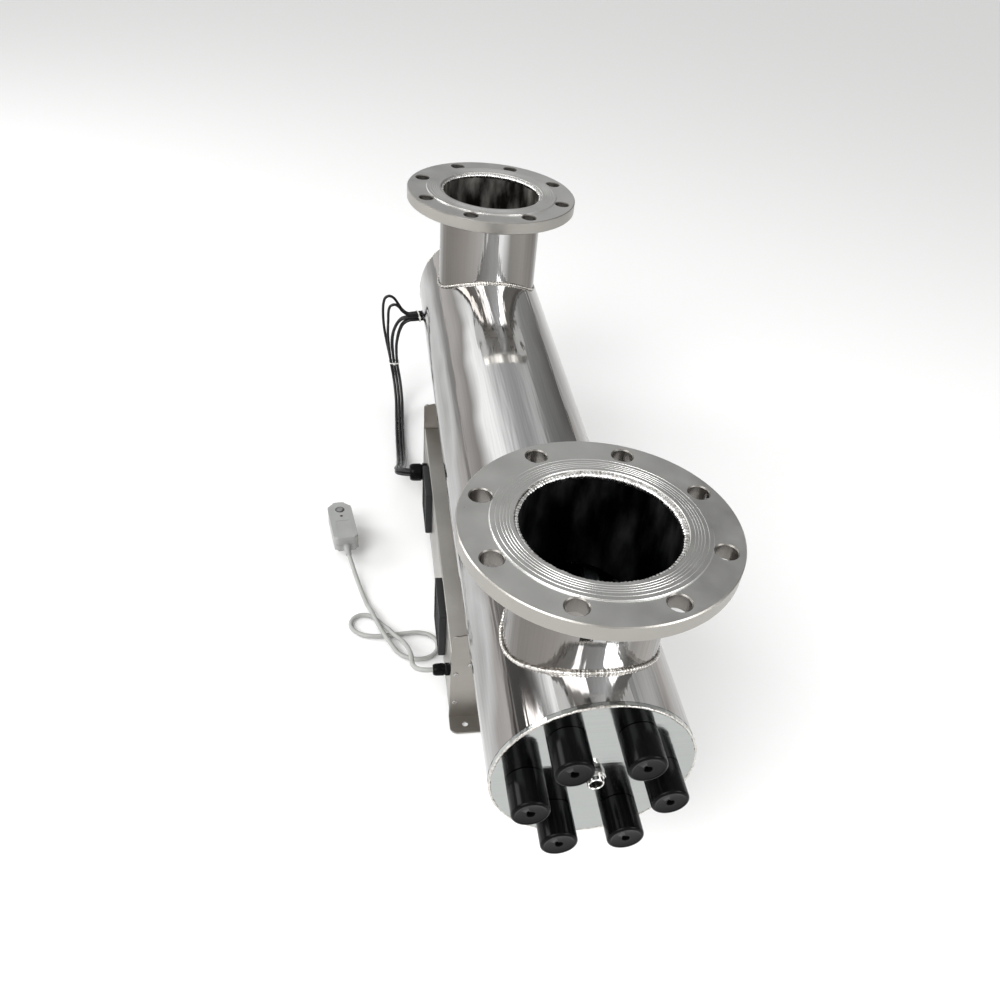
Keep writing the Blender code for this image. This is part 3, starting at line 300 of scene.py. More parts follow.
# painted shade: the end plates' polished steel is tinted much darker than the chamber's
PLATE = polished_steel("plate_polish_painted_shade", "x", tint=(0.37, 0.385, 0.375), low=0.07, high=0.15, wave=0.12)
FACE = turned_steel("turned_face", tint=(0.66, 0.655, 0.64), low=0.26, high=0.38)
FITTING = turned_steel("bright_fitting", tint=(0.85, 0.84, 0.82), low=0.12, high=0.2)
SHEET_X = brushed_steel("brushed_across", "x")
SHEET_Y = brushed_steel("brushed_along", "y", (0.42, 0.405, 0.38))
WELD = weld_metal("weld_bead", (0.62, 0.60, 0.57))
# painted light: the bore welds take a brighter copy of the weld colour
BORE_WELD_PAINTED_LIGHT = weld_metal("bore_weld", (0.85, 0.85, 0.84))
# painted shade and light: the near bore and the chamber's inside are near black, the far bore a lighter copy
# where light falls in
INSIDE = {"front": inside_with_painted_shade("near_bore_painted_shade", (0.010, 0.010, 0.011), (0.10, 0.10, 0.105)),
          "rear": inside_with_painted_shade("far_bore_painted_light", (0.05, 0.046, 0.043), (0.50, 0.48, 0.45))}
# painted shade: the flange's outer edge and chamfers take a darker copy of the turned face's steel
SHADED_RIM = turned_steel("turned_rim_painted_shade", tint=(0.35, 0.337, 0.313), low=0.28, high=0.42)
# painted shade: the bolt hole walls are a darker copy of the turned steel
SHADED_HOLE = turned_steel("hole_wall_painted_shade", tint=(0.19, 0.18, 0.168), low=0.30, high=0.45)
CAP = moulded("cap_black", (0.003, 0.003, 0.0034), 0.20, 600.0, 0.03, shine=0.07)
BLACK = moulded("black_moulding", (0.012, 0.012, 0.013), 0.38, shine=0.35)
GREY_DARK = moulded("cover_grey", (0.011, 0.011, 0.012), 0.42, shine=0.3)
LEAD = moulded("lead_sheath", (0.008, 0.008, 0.008), 0.30, 500.0, 0.08, shine=0.35)
CABLE = moulded("cable_sheath", (0.37, 0.375, 0.36), 0.42, 500.0, 0.08)
PLASTIC = moulded("plug_grey", (0.32, 0.325, 0.315), 0.42, 1200.0, 0.16)
BUTTON = moulded("button_grey", (0.20, 0.20, 0.20), 0.40)
RING = moulded("ring_grey", (0.045, 0.045, 0.048), 0.40)
NYLON = moulded("tie_nylon", (0.78, 0.78, 0.75), 0.40)
BRASS = turned_steel("pin_brass", 900.0, (0.72, 0.56, 0.28))
CASE = brushed_steel("ballast_case", "y", (0.70, 0.70, 0.71))
QUARTZ = clear_quartz("quartz_glass", (0.80, 0.86, 0.88), 0.95)
LAMP = clear_quartz("lamp_glass", (0.25, 0.27, 0.29), 0.7)
SCREW = turned_steel("screw_steel", 2500.0, (0.50, 0.49, 0.48), 0.15, 0.25)
LAMP_DOT = moulded("indicator_lens", (0.05, 0.02, 0.02), 0.12, coat=0.8)


# ---------------------------------------- mesh helpers
def piece(name, shape, materials, place=Matrix.Identity(4), sharp=32, body=ROOT, *, slot):
    bmesh.ops.recalc_face_normals(shape, faces=shape.faces)
    data = bpy.data.meshes.new(name)
    shape.to_mesh(data)
    shape.free()
    data.shade_smooth()
    data.set_sharp_from_angle(angle=math.radians(sharp))
    for material in materials if isinstance(materials, (list, tuple)) else [materials]:
        data.materials.append(material)
    made = bpy.data.objects.new(name, data)
    scene.collection.objects.link(made)
    made.matrix_world = place
    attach(made, body)
    return made


def full_turn(count):
    return [2 * math.pi * step / count for step in range(count)]


def ring_of(shape, radius, height, segments, wobble):
    ring = []
    for angle in full_turn(segments):
        reach = radius * (wobble(angle, radius) if wobble else 1)
        ring.append(shape.verts.new((reach * math.cos(angle), reach * math.sin(angle), height)))
    return ring


def join_rings(shape, rings, closed=True):
    """Faces from each ring of vertices to the next, and from the last back to the first if closed."""
    made = []
    for lower, upper in zip(rings, rings[1:] + rings[:1] if closed else rings[1:]):
        for step in range(len(lower)):
            after = (step + 1) % len(lower)
            made.append(shape.faces.new((lower[step], lower[after], upper[after], upper[step])))
    return made


def lathe(shape, profile, segments, closed=False, wobble=None, material=0):
    """Turn (radius, height) points about Z; a radius of 0 closes the end with one flat face."""
    rings = [ring_of(shape, r, h, segments, wobble) for r, h in profile if r > 0]
    made = join_rings(shape, rings, closed)
    if profile[0][0] == 0:
        made.append(shape.faces.new(rings[0]))
    if profile[-1][0] == 0:
        made.append(shape.faces.new(rings[-1]))
    for face in made:
        face.material_index = material
    return made


def rod_profile(radius, low, high):
    return [(0, low), (radius, low), (radius, high), (0, high)]


def rods(profile, segments, spots=((0, 0),), material=0):
    """The same turned rod standing at each spot (x, y)."""
    shape = bmesh.new()
    for x, y in spots:
        faces = lathe(shape, profile, segments, material=material)
        verts = list({vert for face in faces for vert in face.verts})
        bmesh.ops.translate(shape, vec=(x, y, 0), verts=verts)
    return shape


def block(shape, low, high, bevel=0.0, segments=2):
    made = bmesh.ops.create_cube(shape, size=1.0)["verts"]
    low, high = Vector(low), Vector(high)
    for vert in made:
        vert.co = Vector((v * (h - l) + (h + l) / 2 for v, l, h in zip(vert.co, low, high)))
    if bevel:
        edges = list({edge for vert in made for edge in vert.link_edges})
        bmesh.ops.bevel(shape, geom=edges, offset=bevel, segments=segments, profile=0.5, affect="EDGES")


def outline_block(shape, outline, low, high):
    lower = [shape.verts.new((x, y, low)) for x, y in outline]
    upper = [shape.verts.new((x, y, high)) for x, y in outline]
    shape.faces.new(list(reversed(lower)))
    shape.faces.new(upper)
    join_rings(shape, [lower, upper], closed=False)


def soften_rims(shape, offset, segments):
    """Bevel every edge that lies level."""
    rims = [edge for edge in shape.edges if abs(edge.verts[0].co.z - edge.verts[1].co.z) < 1e-7]
    bmesh.ops.bevel(shape, geom=rims, offset=offset, segments=segments, profile=0.5, affect="EDGES")


def rounded(corners, steps=6):
    """Outline of points (x, y, radius), each corner turned to its radius."""
    outline = []
    for index, (x, y, radius) in enumerate(corners):
        corner = Vector((x, y))
        if radius == 0:
            outline.append((x, y))
            continue
        before = (Vector(corners[index - 1][:2]) - corner).normalized()
        after = (Vector(corners[(index + 1) % len(corners)][:2]) - corner).normalized()
        half = before.angle(after) / 2
        centre = corner + (before + after).normalized() * radius / math.sin(half)
        start = corner + before * radius / math.tan(half) - centre
        end = corner + after * radius / math.tan(half) - centre
        for step in range(steps + 1):
            spot = start.lerp(end, step / steps).normalized() * radius
            outline.append(tuple(centre + spot))
    return outline


def cut(target, shape, name, place=Matrix.Identity(4)):
    """Take a shape out of a finished piece and keep the result as plain mesh."""
    bmesh.ops.recalc_face_normals(shape, faces=shape.faces)
    data = bpy.data.meshes.new(name)
    shape.to_mesh(data)
    shape.free()
    for material in target.data.materials:
        data.materials.append(material)
    tool = bpy.data.objects.new(name, data)
    scene.collection.objects.link(tool)
    tool.matrix_world = place
    modifier = target.modifiers.new("cut", "BOOLEAN")
    modifier.solver = "EXACT"
    modifier.object = tool
    bpy.context.view_layer.update()
    graph = bpy.context.evaluated_depsgraph_get()
    result = bpy.data.meshes.new_from_object(target.evaluated_get(graph))
    target.modifiers.clear()
    target.data = result
    target.data.shade_smooth()
    target.data.set_sharp_from_angle(angle=math.radians(32))
    bpy.data.objects.remove(tool)


def along_minus_y(x, y, z):
    return Matrix.Translation((x, y, z)) @ Matrix.Rotation(math.radians(90), 4, "X")


def along_y(x, y, z):
    return Matrix.Translation((x, y, z)) @ Matrix.Rotation(math.radians(-90), 4, "X")


def along_minus_x(x, y, z):
    return Matrix.Translation((x, y, z)) @ Matrix.Rotation(math.radians(-90), 4, "Y")


def lamp_spot(lamp):
    angle = 2 * math.pi * lamp / 6
    return LAMP_CIRCLE * math.cos(angle), AXIS + LAMP_CIRCLE * math.sin(angle)


# ---------------------------------------- cables
def smooth_curve(points, steps=24):
    """Centripetal curve through all the points."""
    points = [Vector(p) for p in points]
    first, last = points[0] * 2 - points[1], points[-1] * 2 - points[-2]
    ring = [first, *points, last]
    dense = []
    for p0, p1, p2, p3 in zip(ring, ring[1:], ring[2:], ring[3:]):
        t1 = (p1 - p0).length ** 0.5
        t2 = t1 + (p2 - p1).length ** 0.5
        t3 = t2 + (p3 - p2).length ** 0.5
        for step in range(steps):
            t = t1 + (t2 - t1) * step / steps
            a1 = p0.lerp(p1, t / t1)
            a2 = p1.lerp(p2, (t - t1) / (t2 - t1))
            a3 = p2.lerp(p3, (t - t2) / (t3 - t2))
            b1 = a1.lerp(a2, t / t2)
            b2 = a2.lerp(a3, (t - t1) / (t3 - t1))
            dense.append(b1.lerp(b2, (t - t1) / (t2 - t1)))
    dense.append(points[-1])
    return dense


LEAD_PITCH = 0.0062
CAP_FACE_Y = CHAMBER_HALF + 0.043
CAP_ENTRY = 0.004
MAINS_ROUTE = [
    (CABLE_X, MAINS_Y, GLAND_Z), (-0.1420, MAINS_Y, GLAND_Z),
    (-0.1530, -0.2650, 0.0833), (-0.1625, -0.2585, 0.0795), (-0.1680, -0.2450, 0.0725),
    (-0.1685, -0.2250, 0.0610), (-0.1685, -0.2010, 0.0465), (-0.1710, -0.1760, 0.0325),
    (-0.1775, -0.1500, 0.0205), (-0.1890, -0.1290, 0.0130),
    (-0.1985, -0.1130, 0.0112), (-0.2065, -0.0990, 0.0055), (-0.2150, -0.0855, 0.0036),
    (-0.2270, -0.0745, 0.0036), (-0.2410, -0.0725, 0.0036), (-0.2525, -0.0805, 0.0036),
    (-0.2560, -0.0940, 0.0036), (-0.2500, -0.1070, 0.0036), (-0.2370, -0.1160, 0.0036),
    (-0.2180, -0.1200, 0.0036), (-0.1960, -0.1190, 0.0036), (-0.1730, -0.1165, 0.0036),
    (-0.1520, -0.1160, 0.0036), (-0.1350, -0.1230, 0.0036), (-0.1255, -0.1370, 0.0036),
    (-0.1255, -0.1530, 0.0036), (-0.1350, -0.1665, 0.0036), (-0.1510, -0.1720, 0.0036),
    (-0.1680, -0.1690, 0.0036), (-0.1840, -0.1590, 0.0040), (-0.1975, -0.1400, 0.0105),
    (-0.2080, -0.1170, 0.0112), (-0.2170, -0.0920, 0.0112), (-0.2235, -0.0720, 0.0112),
    (-0.2295, -0.0520, 0.0055), (-0.2365, -0.0250, 0.0036), (-0.2450, 0.0060, 0.0090),
    (-0.2530, 0.0330, 0.0215), (-0.2582, 0.0520, 0.0275),
]
LOOM_ROUTE = [
    (CABLE_X, LOOM_Y, GLAND_Z), (-0.1480, LOOM_Y, GLAND_Z), (-0.1570, 0.2008, 0.0834),
    (-0.1635, 0.2070, 0.0808), (-0.1660, 0.2175, 0.0758), (-0.1650, 0.2330, 0.0675),
    (-0.1625, 0.2570, 0.0525), (-0.1600, 0.2920, 0.0330),
    (-0.1580, 0.3350, 0.0150), (-0.1570, 0.3800, 0.0068), (-0.1565, 0.4200, 0.0068),
    (-0.1555, 0.4620, 0.0072), (-0.1540, 0.5040, 0.0115), (-0.1530, 0.5420, 0.0250),
    (-0.1555, 0.5690, 0.0515), (-0.1609, 0.5830, 0.0866),
]
REAR_ROUTE = [
    (-0.1300, 0.5900, 0.1820), (-0.1215, 0.5905, 0.1826), (-0.1110, 0.5925, 0.1832),
    (-0.0995, 0.5970, 0.1820), (-0.0890, 0.6050, 0.1790),
]
LOOM_END = ((1, 0, 0), (0, -1, 0))            # column and row directions where each route ends
REAR_END = ((0, 0, -1), (0.6, -0.8, 0))
# each lead: its column and row in the bundle, its lamp, its arch, its way to the rear cap
LEAD_ROUTES = [
    ((-1, 0.5), 3,
     [(-0.1719, 0.5865, 0.1419), (-0.1708, 0.5865, 0.1740), (-0.1694, 0.5865, 0.1964),
      (-0.1658, 0.5865, 0.2047), (-0.1575, 0.5865, 0.2081), (-0.1495, 0.5865, 0.2038),
      (-0.1428, 0.5865, 0.1953)],
     [(-0.0810, 0.6150, 0.1960), (-0.0770, 0.6300, 0.2120), (-0.0745, 0.6400, 0.2300),
      (-0.0730, 0.6370, 0.2440)]),
    ((0, 0.5), 4,
     [(-0.1633, 0.5865, 0.1312), (-0.1591, 0.5865, 0.1558), (-0.1505, 0.5865, 0.1723),
      (-0.1425, 0.5865, 0.1788)],
     [(-0.0780, 0.6150, 0.1785), (-0.0660, 0.6300, 0.1790), (-0.0530, 0.6415, 0.1815),
      (-0.0405, 0.6390, 0.1855)]),
    ((1, 0.5), 5,
     [(-0.1548, 0.5865, 0.1238), (-0.1516, 0.5865, 0.1419), (-0.1473, 0.5865, 0.1563),
      (-0.1405, 0.5865, 0.1690)],
     [(-0.0770, 0.6170, 0.1690), (-0.0600, 0.6380, 0.1640), (-0.0350, 0.6540, 0.1620),
      (-0.0050, 0.6620, 0.1660), (0.0210, 0.6560, 0.1770), (0.0345, 0.6380, 0.1850)]),
    ((-1, -0.5), 2,
     [(-0.1746, 0.5945, 0.1262), (-0.1794, 0.5945, 0.1603), (-0.1804, 0.5945, 0.1902),
      (-0.1789, 0.5945, 0.2073), (-0.1751, 0.5945, 0.2180), (-0.1671, 0.5945, 0.2217),
      (-0.1588, 0.5945, 0.2178), (-0.1508, 0.5945, 0.2068), (-0.1436, 0.5940, 0.1960)],
     [(-0.0850, 0.6260, 0.1990), (-0.0790, 0.6460, 0.2250), (-0.0670, 0.6540, 0.2600),
      (-0.0500, 0.6500, 0.2900), (-0.0385, 0.6350, 0.3085)]),
    ((0, -0.5), 1,
     [(-0.1644, 0.5945, 0.1262), (-0.1607, 0.5945, 0.1486), (-0.1532, 0.5945, 0.1657),
      (-0.1440, 0.5940, 0.1768)],
     [(-0.0820, 0.6260, 0.1850), (-0.0700, 0.6520, 0.2000), (-0.0480, 0.6740, 0.2260),
      (-0.0180, 0.6780, 0.2600), (0.0100, 0.6680, 0.2900), (0.0300, 0.6460, 0.3075)]),
    ((1, -0.5), 0,
     [(-0.1554, 0.5945, 0.1155), (-0.1529, 0.5945, 0.1347), (-0.1487, 0.5945, 0.1518),
      (-0.1415, 0.5940, 0.1672)],
     [(-0.0815, 0.6240, 0.1655), (-0.0620, 0.6520, 0.1620), (-0.0300, 0.6740, 0.1680),
      (0.0100, 0.6820, 0.1880), (0.0450, 0.6720, 0.2150), (0.0670, 0.6480, 0.2410)]),
]


def bundle_frames(route, end_column, end_row):
    """Column and row directions along a route, carried back from its end without twist."""
    points = [Vector(point) for point in route]
    column, row = Vector(end_column), Vector(end_row)
    last = (points[-1] - points[-2]).normalized()
    frames = []
    for step in reversed(range(len(points))):
        tangent = (points[min(step + 1, len(points) - 1)] - points[max(step - 1, 0)]).normalized()
        turn = last.rotation_difference(tangent)
        column, row = turn @ column, turn @ row
        frames.append((column.copy(), row.copy()))
        last = tangent
    return frames[::-1]


def strand(route, frames, seat):
    return [Vector(point) + (across * seat[0] + over * seat[1]) * LEAD_PITCH
            for point, (across, over) in zip(route, frames)]


def lead_points(seat, lamp, arch, rear_run):
    x, z = lamp_spot(lamp)
    return [*strand(LOOM_ROUTE, bundle_frames(LOOM_ROUTE, *LOOM_END), seat), *arch,
            *strand(REAR_ROUTE, bundle_frames(REAR_ROUTE, *REAR_END), seat), *rear_run,
            (x, CAP_FACE_Y + 2 * CAP_ENTRY, z), (x, CAP_FACE_Y - CAP_ENTRY, z)]


def even_line(points, spacing):
    """Points at an even spacing on the smooth curve through a route, and its length."""
    dense = smooth_curve(points)
    runs = [0.0]
    for before, after in zip(dense, dense[1:]):
        runs.append(runs[-1] + (after - before).length)
    count = round(runs[-1] / spacing)
    line, place = [dense[0]], 0
    for step in range(1, count):
        target = runs[-1] * step / count
        while runs[place + 1] < target:
            place += 1
        share = (target - runs[place]) / (runs[place + 1] - runs[place])
        line.append(dense[place].lerp(dense[place + 1], share))
    line.append(dense[-1])
    return line, sum((b - a).length for a, b in zip(line, line[1:]))


def cable(name, route, radius, material, spacing=0.0022):
    line, length = even_line(route, spacing)
    data = bpy.data.curves.new(name, "CURVE")
    data.dimensions = "3D"
    data.bevel_depth = radius
    data.bevel_resolution = 6
    data.use_fill_caps = True
    spline = data.splines.new("POLY")
    spline.points.add(len(line) - 1)
    for spot, point in zip(spline.points, line):
        spot.co = (*point, 1)
    spline.use_smooth = True
    data.materials.append(material)
    made = bpy.data.objects.new(name, data)
    scene.collection.objects.link(made)
    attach(made, ROOT)
    return made, line, length


def plug_place(z=0.0):
    return Matrix.Translation((*PLUG, z)) @ Matrix.Rotation(PLUG_YAW, 4, "Z")


mains, mains_line, mains_length = cable("mains_cable_sheath",
                                        MAINS_ROUTE + [tuple(plug_place() @ Vector((0, -0.0488, 0.0280)))],
                                        MAINS_RADIUS, CABLE)
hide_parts("mains_cable")
for number, (seat, lamp, arch, rear_run) in enumerate(LEAD_ROUTES, 1):
    lead, line, length = cable("lead_sheath_%d" % number, lead_points(seat, lamp, arch, rear_run),
                               LEAD_RADIUS, LEAD)
    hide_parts("lamp_lead_%d" % number)


# ---------------------------------------- chamber, necks and flanges
def make_chamber():
    shape = bmesh.new()
    wall, steps = 0.003, 36
    half = CHAMBER_HALF - END_PLATE - SEAT_GAP
    stations = [half - 2 * half * step / steps for step in range(steps + 1)]
    profile = [(CHAMBER_R, -h) for h in stations] + [(CHAMBER_R - wall, h) for h in stations]
    lathe(shape, profile, 288, closed=True)
    for face in shape.faces:
        middle = face.calc_center_median()
        # the inner wall takes the near bore's near-black colours, painted shade
        face.material_index = int(math.hypot(middle.x, middle.y) < CHAMBER_R - wall / 3)
    chamber = piece("chamber", shape, [CHAMBER, INSIDE["front"]], along_y(0, 0, AXIS), slot="polished_steel")
    for y in (-PORT_Y, PORT_Y):
        cut(chamber, rods(rod_profile(NECK_IN, 0.02, 0.16), 192), "port", Matrix.Translation((0, y, AXIS)))
    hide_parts("chamber_tube")


def on_chamber(radius, angle):
    """Height of the chamber's surface at one angle of an upright circle."""
    return AXIS + math.sqrt(CHAMBER_R ** 2 - (radius * math.cos(angle)) ** 2)


def make_neck(name, y):
    shape = bmesh.new()
    segments, steps = 192, 10
    outside = [(NECK_R, step / steps) for step in range(steps + 1)]
    inside = [(NECK_IN, 1 - step / steps) for step in range(steps + 1)]
    rings = []
    for radius, share in outside + inside:
        ring = []
        for angle in full_turn(segments):
            low = on_chamber(radius, angle) + SEAT_GAP
            high = TOP - 0.005
            ring.append(shape.verts.new((radius * math.cos(angle), radius * math.sin(angle),
                                         low + (high - low) * share)))
        rings.append(ring)
    for index, face in enumerate(join_rings(shape, rings)):
        face.material_index = int(index >= segments * len(outside))
    neck = piece(name + "_neck", shape, [NECK, INSIDE[name]], Matrix.Translation((0, y, 0)),
                 slot="polished_steel")
    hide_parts(name + "_port_neck")


def bead(name, centres, radius, coin, rough, seed, material=WELD, heavy=0.0):
    """Closed weld bead along a loop, with ripples a coin apart, uneven edges and a heavier stretch."""
    shape = bmesh.new()
    count = len(centres)
    travelled = 0.0
    rings = []
    for step, centre in enumerate(centres):
        ahead, behind = centres[(step + 1) % count], centres[step - 1]
        travelled += (centre - behind).length
        tangent = (ahead - behind).normalized()
        across = tangent.cross(Vector((0.31, 0.17, 0.93))).normalized()
        over = tangent.cross(across)
        ripple = abs(math.sin(math.pi * travelled / coin))
        swell = radius * (0.82 + 0.22 * ripple + rough * noise.noise(centre * 130 + Vector((seed, 0, 0))))
        swell *= 1 + heavy * max(0.0, math.cos(2 * math.pi * step / count - HEAVY_WELD_AT))
        shift = noise.noise(centre * 90 + Vector((0, seed, 3))) * rough * radius
        rings.append([shape.verts.new(centre + across * (swell * math.cos(t) + shift)
                                      + over * swell * math.sin(t)) for t in full_turn(10)])
    join_rings(shape, rings)
    piece(name, shape, material, sharp=60, slot="polished_steel")


def loop_points(count, at):
    return [Vector(at(angle)) for angle in full_turn(count)]


def make_welds():
    saddle, bore, rim = NECK_R + 0.001, NECK_IN + 0.00105, CHAMBER_R - 0.0012
    for name, y, radius, rough in (("front", -PORT_Y, 0.0026, 0.30), ("rear", PORT_Y, 0.0021, 0.15)):
        line = loop_points(620, lambda t: (saddle * math.cos(t), y + saddle * math.sin(t),
                                           on_chamber(NECK_R, t) + 0.0012))
        bead(name + "_saddle_weld", line, radius, 0.0042, rough, y)
        line = loop_points(560, lambda t: (bore * math.cos(t), y + bore * math.sin(t), TOP - 0.0052))
        bead(name + "_bore_weld", line, 0.0024, 0.0042, 0.20, y + 5, BORE_WELD_PAINTED_LIGHT, 0.75)
    for name, y in (("front", -CHAMBER_HALF), ("rear", CHAMBER_HALF)):
        line = loop_points(640, lambda t: (rim * math.cos(t), y * 0.9985,
                                           AXIS + (rim + 0.0002) * math.sin(t)))
        bead(name + "_rim_weld", line, 0.0015, 0.0038, 0.35, y + 9)


def flange_profile():
    """Closed outline from the underside of the bore outwards, with the grooves of the raised face."""
    bore, under, step, chamfer = NECK_R + SEAT_GAP, -0.0196, -0.0016, 0.0012
    profile = [(bore, under), (FLANGE_R - chamfer, under), (FLANGE_R, under + chamfer),
               (FLANGE_R, step - chamfer), (FLANGE_R - chamfer, step),
               (FACE_R + 0.0006, step), (FACE_R, -0.0012), (FACE_R, -0.0004), (FACE_R - 0.0004, 0)]
    for ring in (0.1030, 0.0985, 0.0955, 0.0925, 0.0895):
        profile += [(ring + 0.0005, 0), (ring + 0.0002, -0.00028), (ring - 0.0002, -0.00028),
                    (ring - 0.0005, 0)]
    return profile + [(bore + 0.0008, 0), (bore, -0.0008)]


def make_flange(name, y):
    place = Matrix.Translation((0, y, TOP))
    shape = bmesh.new()
    lathe(shape, flange_profile(), 240, closed=True)
    for face in shape.faces:
        middle = face.calc_center_median()
        # the outer edge and chamfers get the darker rim copy, painted shade
        face.material_index = 2 * int(math.hypot(middle.x, middle.y) > FLANGE_R - 0.0010)
    flange = piece(name + "_flange", shape, [FACE, SHADED_HOLE, SHADED_RIM], place, 20, slot="turned_steel")
    bolt = [(0, -0.03), (0.0119, -0.03), (0.0119, -0.0194), (0.0111, -0.0186), (0.0111, -0.0028),
            (0.0127, -0.0012), (0.0127, 0.01), (0, 0.01)]
    spots = [(BOLT_CIRCLE * math.cos(angle + math.pi / 8), BOLT_CIRCLE * math.sin(angle + math.pi / 8))
             for angle in full_turn(8)]
    cut(flange, rods(bolt, 48, spots, material=1), "bolt_holes", place)
    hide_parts(name + "_port_flange")


make_chamber()
for side, port in (("front", -PORT_Y), ("rear", PORT_Y)):
    make_neck(side, port)
    make_flange(side, port)
make_welds()


# ---------------------------------------- caps and fitting
def notch(angle, radius):
    """The cable hole of a front cap has a keyway on one side."""
    if radius > 0.005:
        return 1
    return 1.45 if abs(angle - 2.2) < 0.36 else 1


def cap_profile(hole):
    """Closed outline: skirt, rounded shoulder, raised ring, then the cable hole and the hollow."""
    inner, floor, face = 0.0148, 0.0250, 0.0424
    return [(inner, SEAT_GAP), (0.0199, SEAT_GAP), (0.0203, 0.0007), (0.0203, 0.0395), (0.0202, 0.0405),
            (0.0198, 0.0415), (0.0190, face), (0.0180, 0.0429), (0.0168, 0.0430), (0.0160, 0.0426),
            (0.0152, face), (hole + 0.0004, face), (hole, face - 0.0004), (hole, floor), (inner, floor)]


def make_caps():
    for number in range(1, 7):
        x, z = lamp_spot(number - 1)
        front = bmesh.new()
        lathe(front, cap_profile(0.0042), 96, closed=True, wobble=notch)
        cap = piece("front_cap_shell_%d" % number, front, CAP, along_minus_y(x, -CHAMBER_HALF, z), 40,
                    "cap_%d" % number, slot="black_rubber")
        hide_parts("front_cap_%d" % number)
        rear = bmesh.new()
        lathe(rear, cap_profile(0.0030), 96, closed=True)
        cap = piece("rear_cap_shell_%d" % number, rear, CAP, along_y(x, CHAMBER_HALF, z), 40,
                    slot="black_rubber")
        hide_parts("rear_cap_%d" % number)


def make_fitting():
    shape = bmesh.new()
    lathe(shape, [(0.0071, -0.006), (0.0085, -0.006), (0.0085, 0.0004), (0.0071, 0.0004)], 48, closed=True)
    lathe(shape, [(0.0086, 0.0004), (0.0120, 0.0004), (0.0126, 0.0012), (0.0126, 0.0050), (0.0120, 0.0058),
                  (0.0086, 0.0058)], 6, closed=True)
    lathe(shape, [(0.0070, 0.0004), (0.0094, 0.0058), (0.0098, 0.0066), (0.0098, 0.0080), (0.0090, 0.0086),
                  (0.0088, 0.0132), (0.0082, 0.0140), (0.0074, 0.0140), (0.0070, 0.0134)], 64, closed=True)
    fitting = piece("centre_fitting_body", shape, FITTING, along_minus_y(0, -CHAMBER_HALF, AXIS),
                    slot="turned_steel")
    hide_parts("centre_fitting")


make_caps()
make_fitting()


# ---------------------------------------- saddles, box, fans
def make_saddle(name, y, outward):
    seat, top, side, half = CHAMBER_R + 0.0004, 0.174, BOX_X + 0.001, 0.00125
    reach = math.acos((AXIS - top) / seat)
    arc = [(seat * math.sin(t), AXIS - seat * math.cos(t))
           for t in (reach - reach * step / 30 for step in range(61))]
    right = rounded([(-side, 0, 0), (side, 0, 0), (side, top, 0.006)])
    left = [(-x, z) for x, z in reversed(right[2:])]
    plate = bmesh.new()
    outline_block(plate, right + arc + left, -half, half)
    soften_rims(plate, 0.00035, 1)
    saddle = piece(name + "_saddle_plate", plate, SHEET_X, along_minus_y(0, y, 0), slot="brushed_steel")
    foot = bmesh.new()
    near, end = 0.0006, half + 0.030
    outline = rounded([(-side, near, 0), (side, near, 0), (side, end, 0.010), (-side, end, 0.010)], 8)
    outline_block(foot, [(x, depth * outward) for x, depth in outline], 0, 2 * half)
    soften_rims(foot, 0.00035, 1)
    place = Matrix.Translation((0, y, 0))
    foot_piece = piece(name + "_saddle_foot", foot, SHEET_X, place, slot="brushed_steel")
    spots = [(x, outward * (half + end) / 2) for x in (-0.097, 0.097)]
    cut(foot_piece, rods(rod_profile(0.0045, -0.01, 0.01), 40, spots), "foot_holes", place)
    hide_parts(name + "_saddle")


def screw(name, place):
    """Low pan head with a cross recess."""
    radius = 0.0034
    shape = bmesh.new()
    lathe(shape, [(0, 0), (radius, 0), (radius, 0.0007), (0.93 * radius, 0.0014), (0.72 * radius, 0.0019),
                  (0, 0.0021)], 36)
    head = piece(name, shape, SCREW, place, 30, slot="turned_steel")
    recess = bmesh.new()
    long, thin = 0.62 * radius, 0.14 * radius
    arm = [(thin, long), (-thin, long), (-thin, thin)]
    cross = []
    for _ in range(4):
        cross += arm
        arm = [(-y, x) for x, y in arm]
    outline_block(recess, cross, 0.0010, 0.004)
    cut(head, recess, name + "_recess", place)


def make_box():
    sheet, floor = 0.0015, 0.0098
    shape = bmesh.new()
    block(shape, (-BOX_X, -BOX_HALF, floor), (BOX_X, BOX_HALF, BOX_TOP), 0.0016, 3)
    box = piece("box_housing", shape, SHEET_Y, slot="brushed_steel")
    hollow = bmesh.new()
    block(hollow, (sheet - BOX_X, sheet - BOX_HALF, 0), (BOX_X - sheet, BOX_HALF - sheet, BOX_TOP - sheet))
    cut(box, hollow, "hollow")
    for y, z, radius in ((FAN_YS["front"], FAN_Z, 0.0375), (FAN_YS["rear"], FAN_Z, 0.0375),
                         (MAINS_Y, GLAND_Z, 0.0070), (LOOM_Y, GLAND_Z, 0.0119)):
        cut(box, rods(rod_profile(radius, -0.006, 0.006), 64), "opening", along_minus_x(-BOX_X, y, z))
    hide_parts("control_box")


def square(half, corner):
    return rounded([(-half, -half, corner), (half, -half, corner),
                    (half, half, corner), (-half, half, corner)])


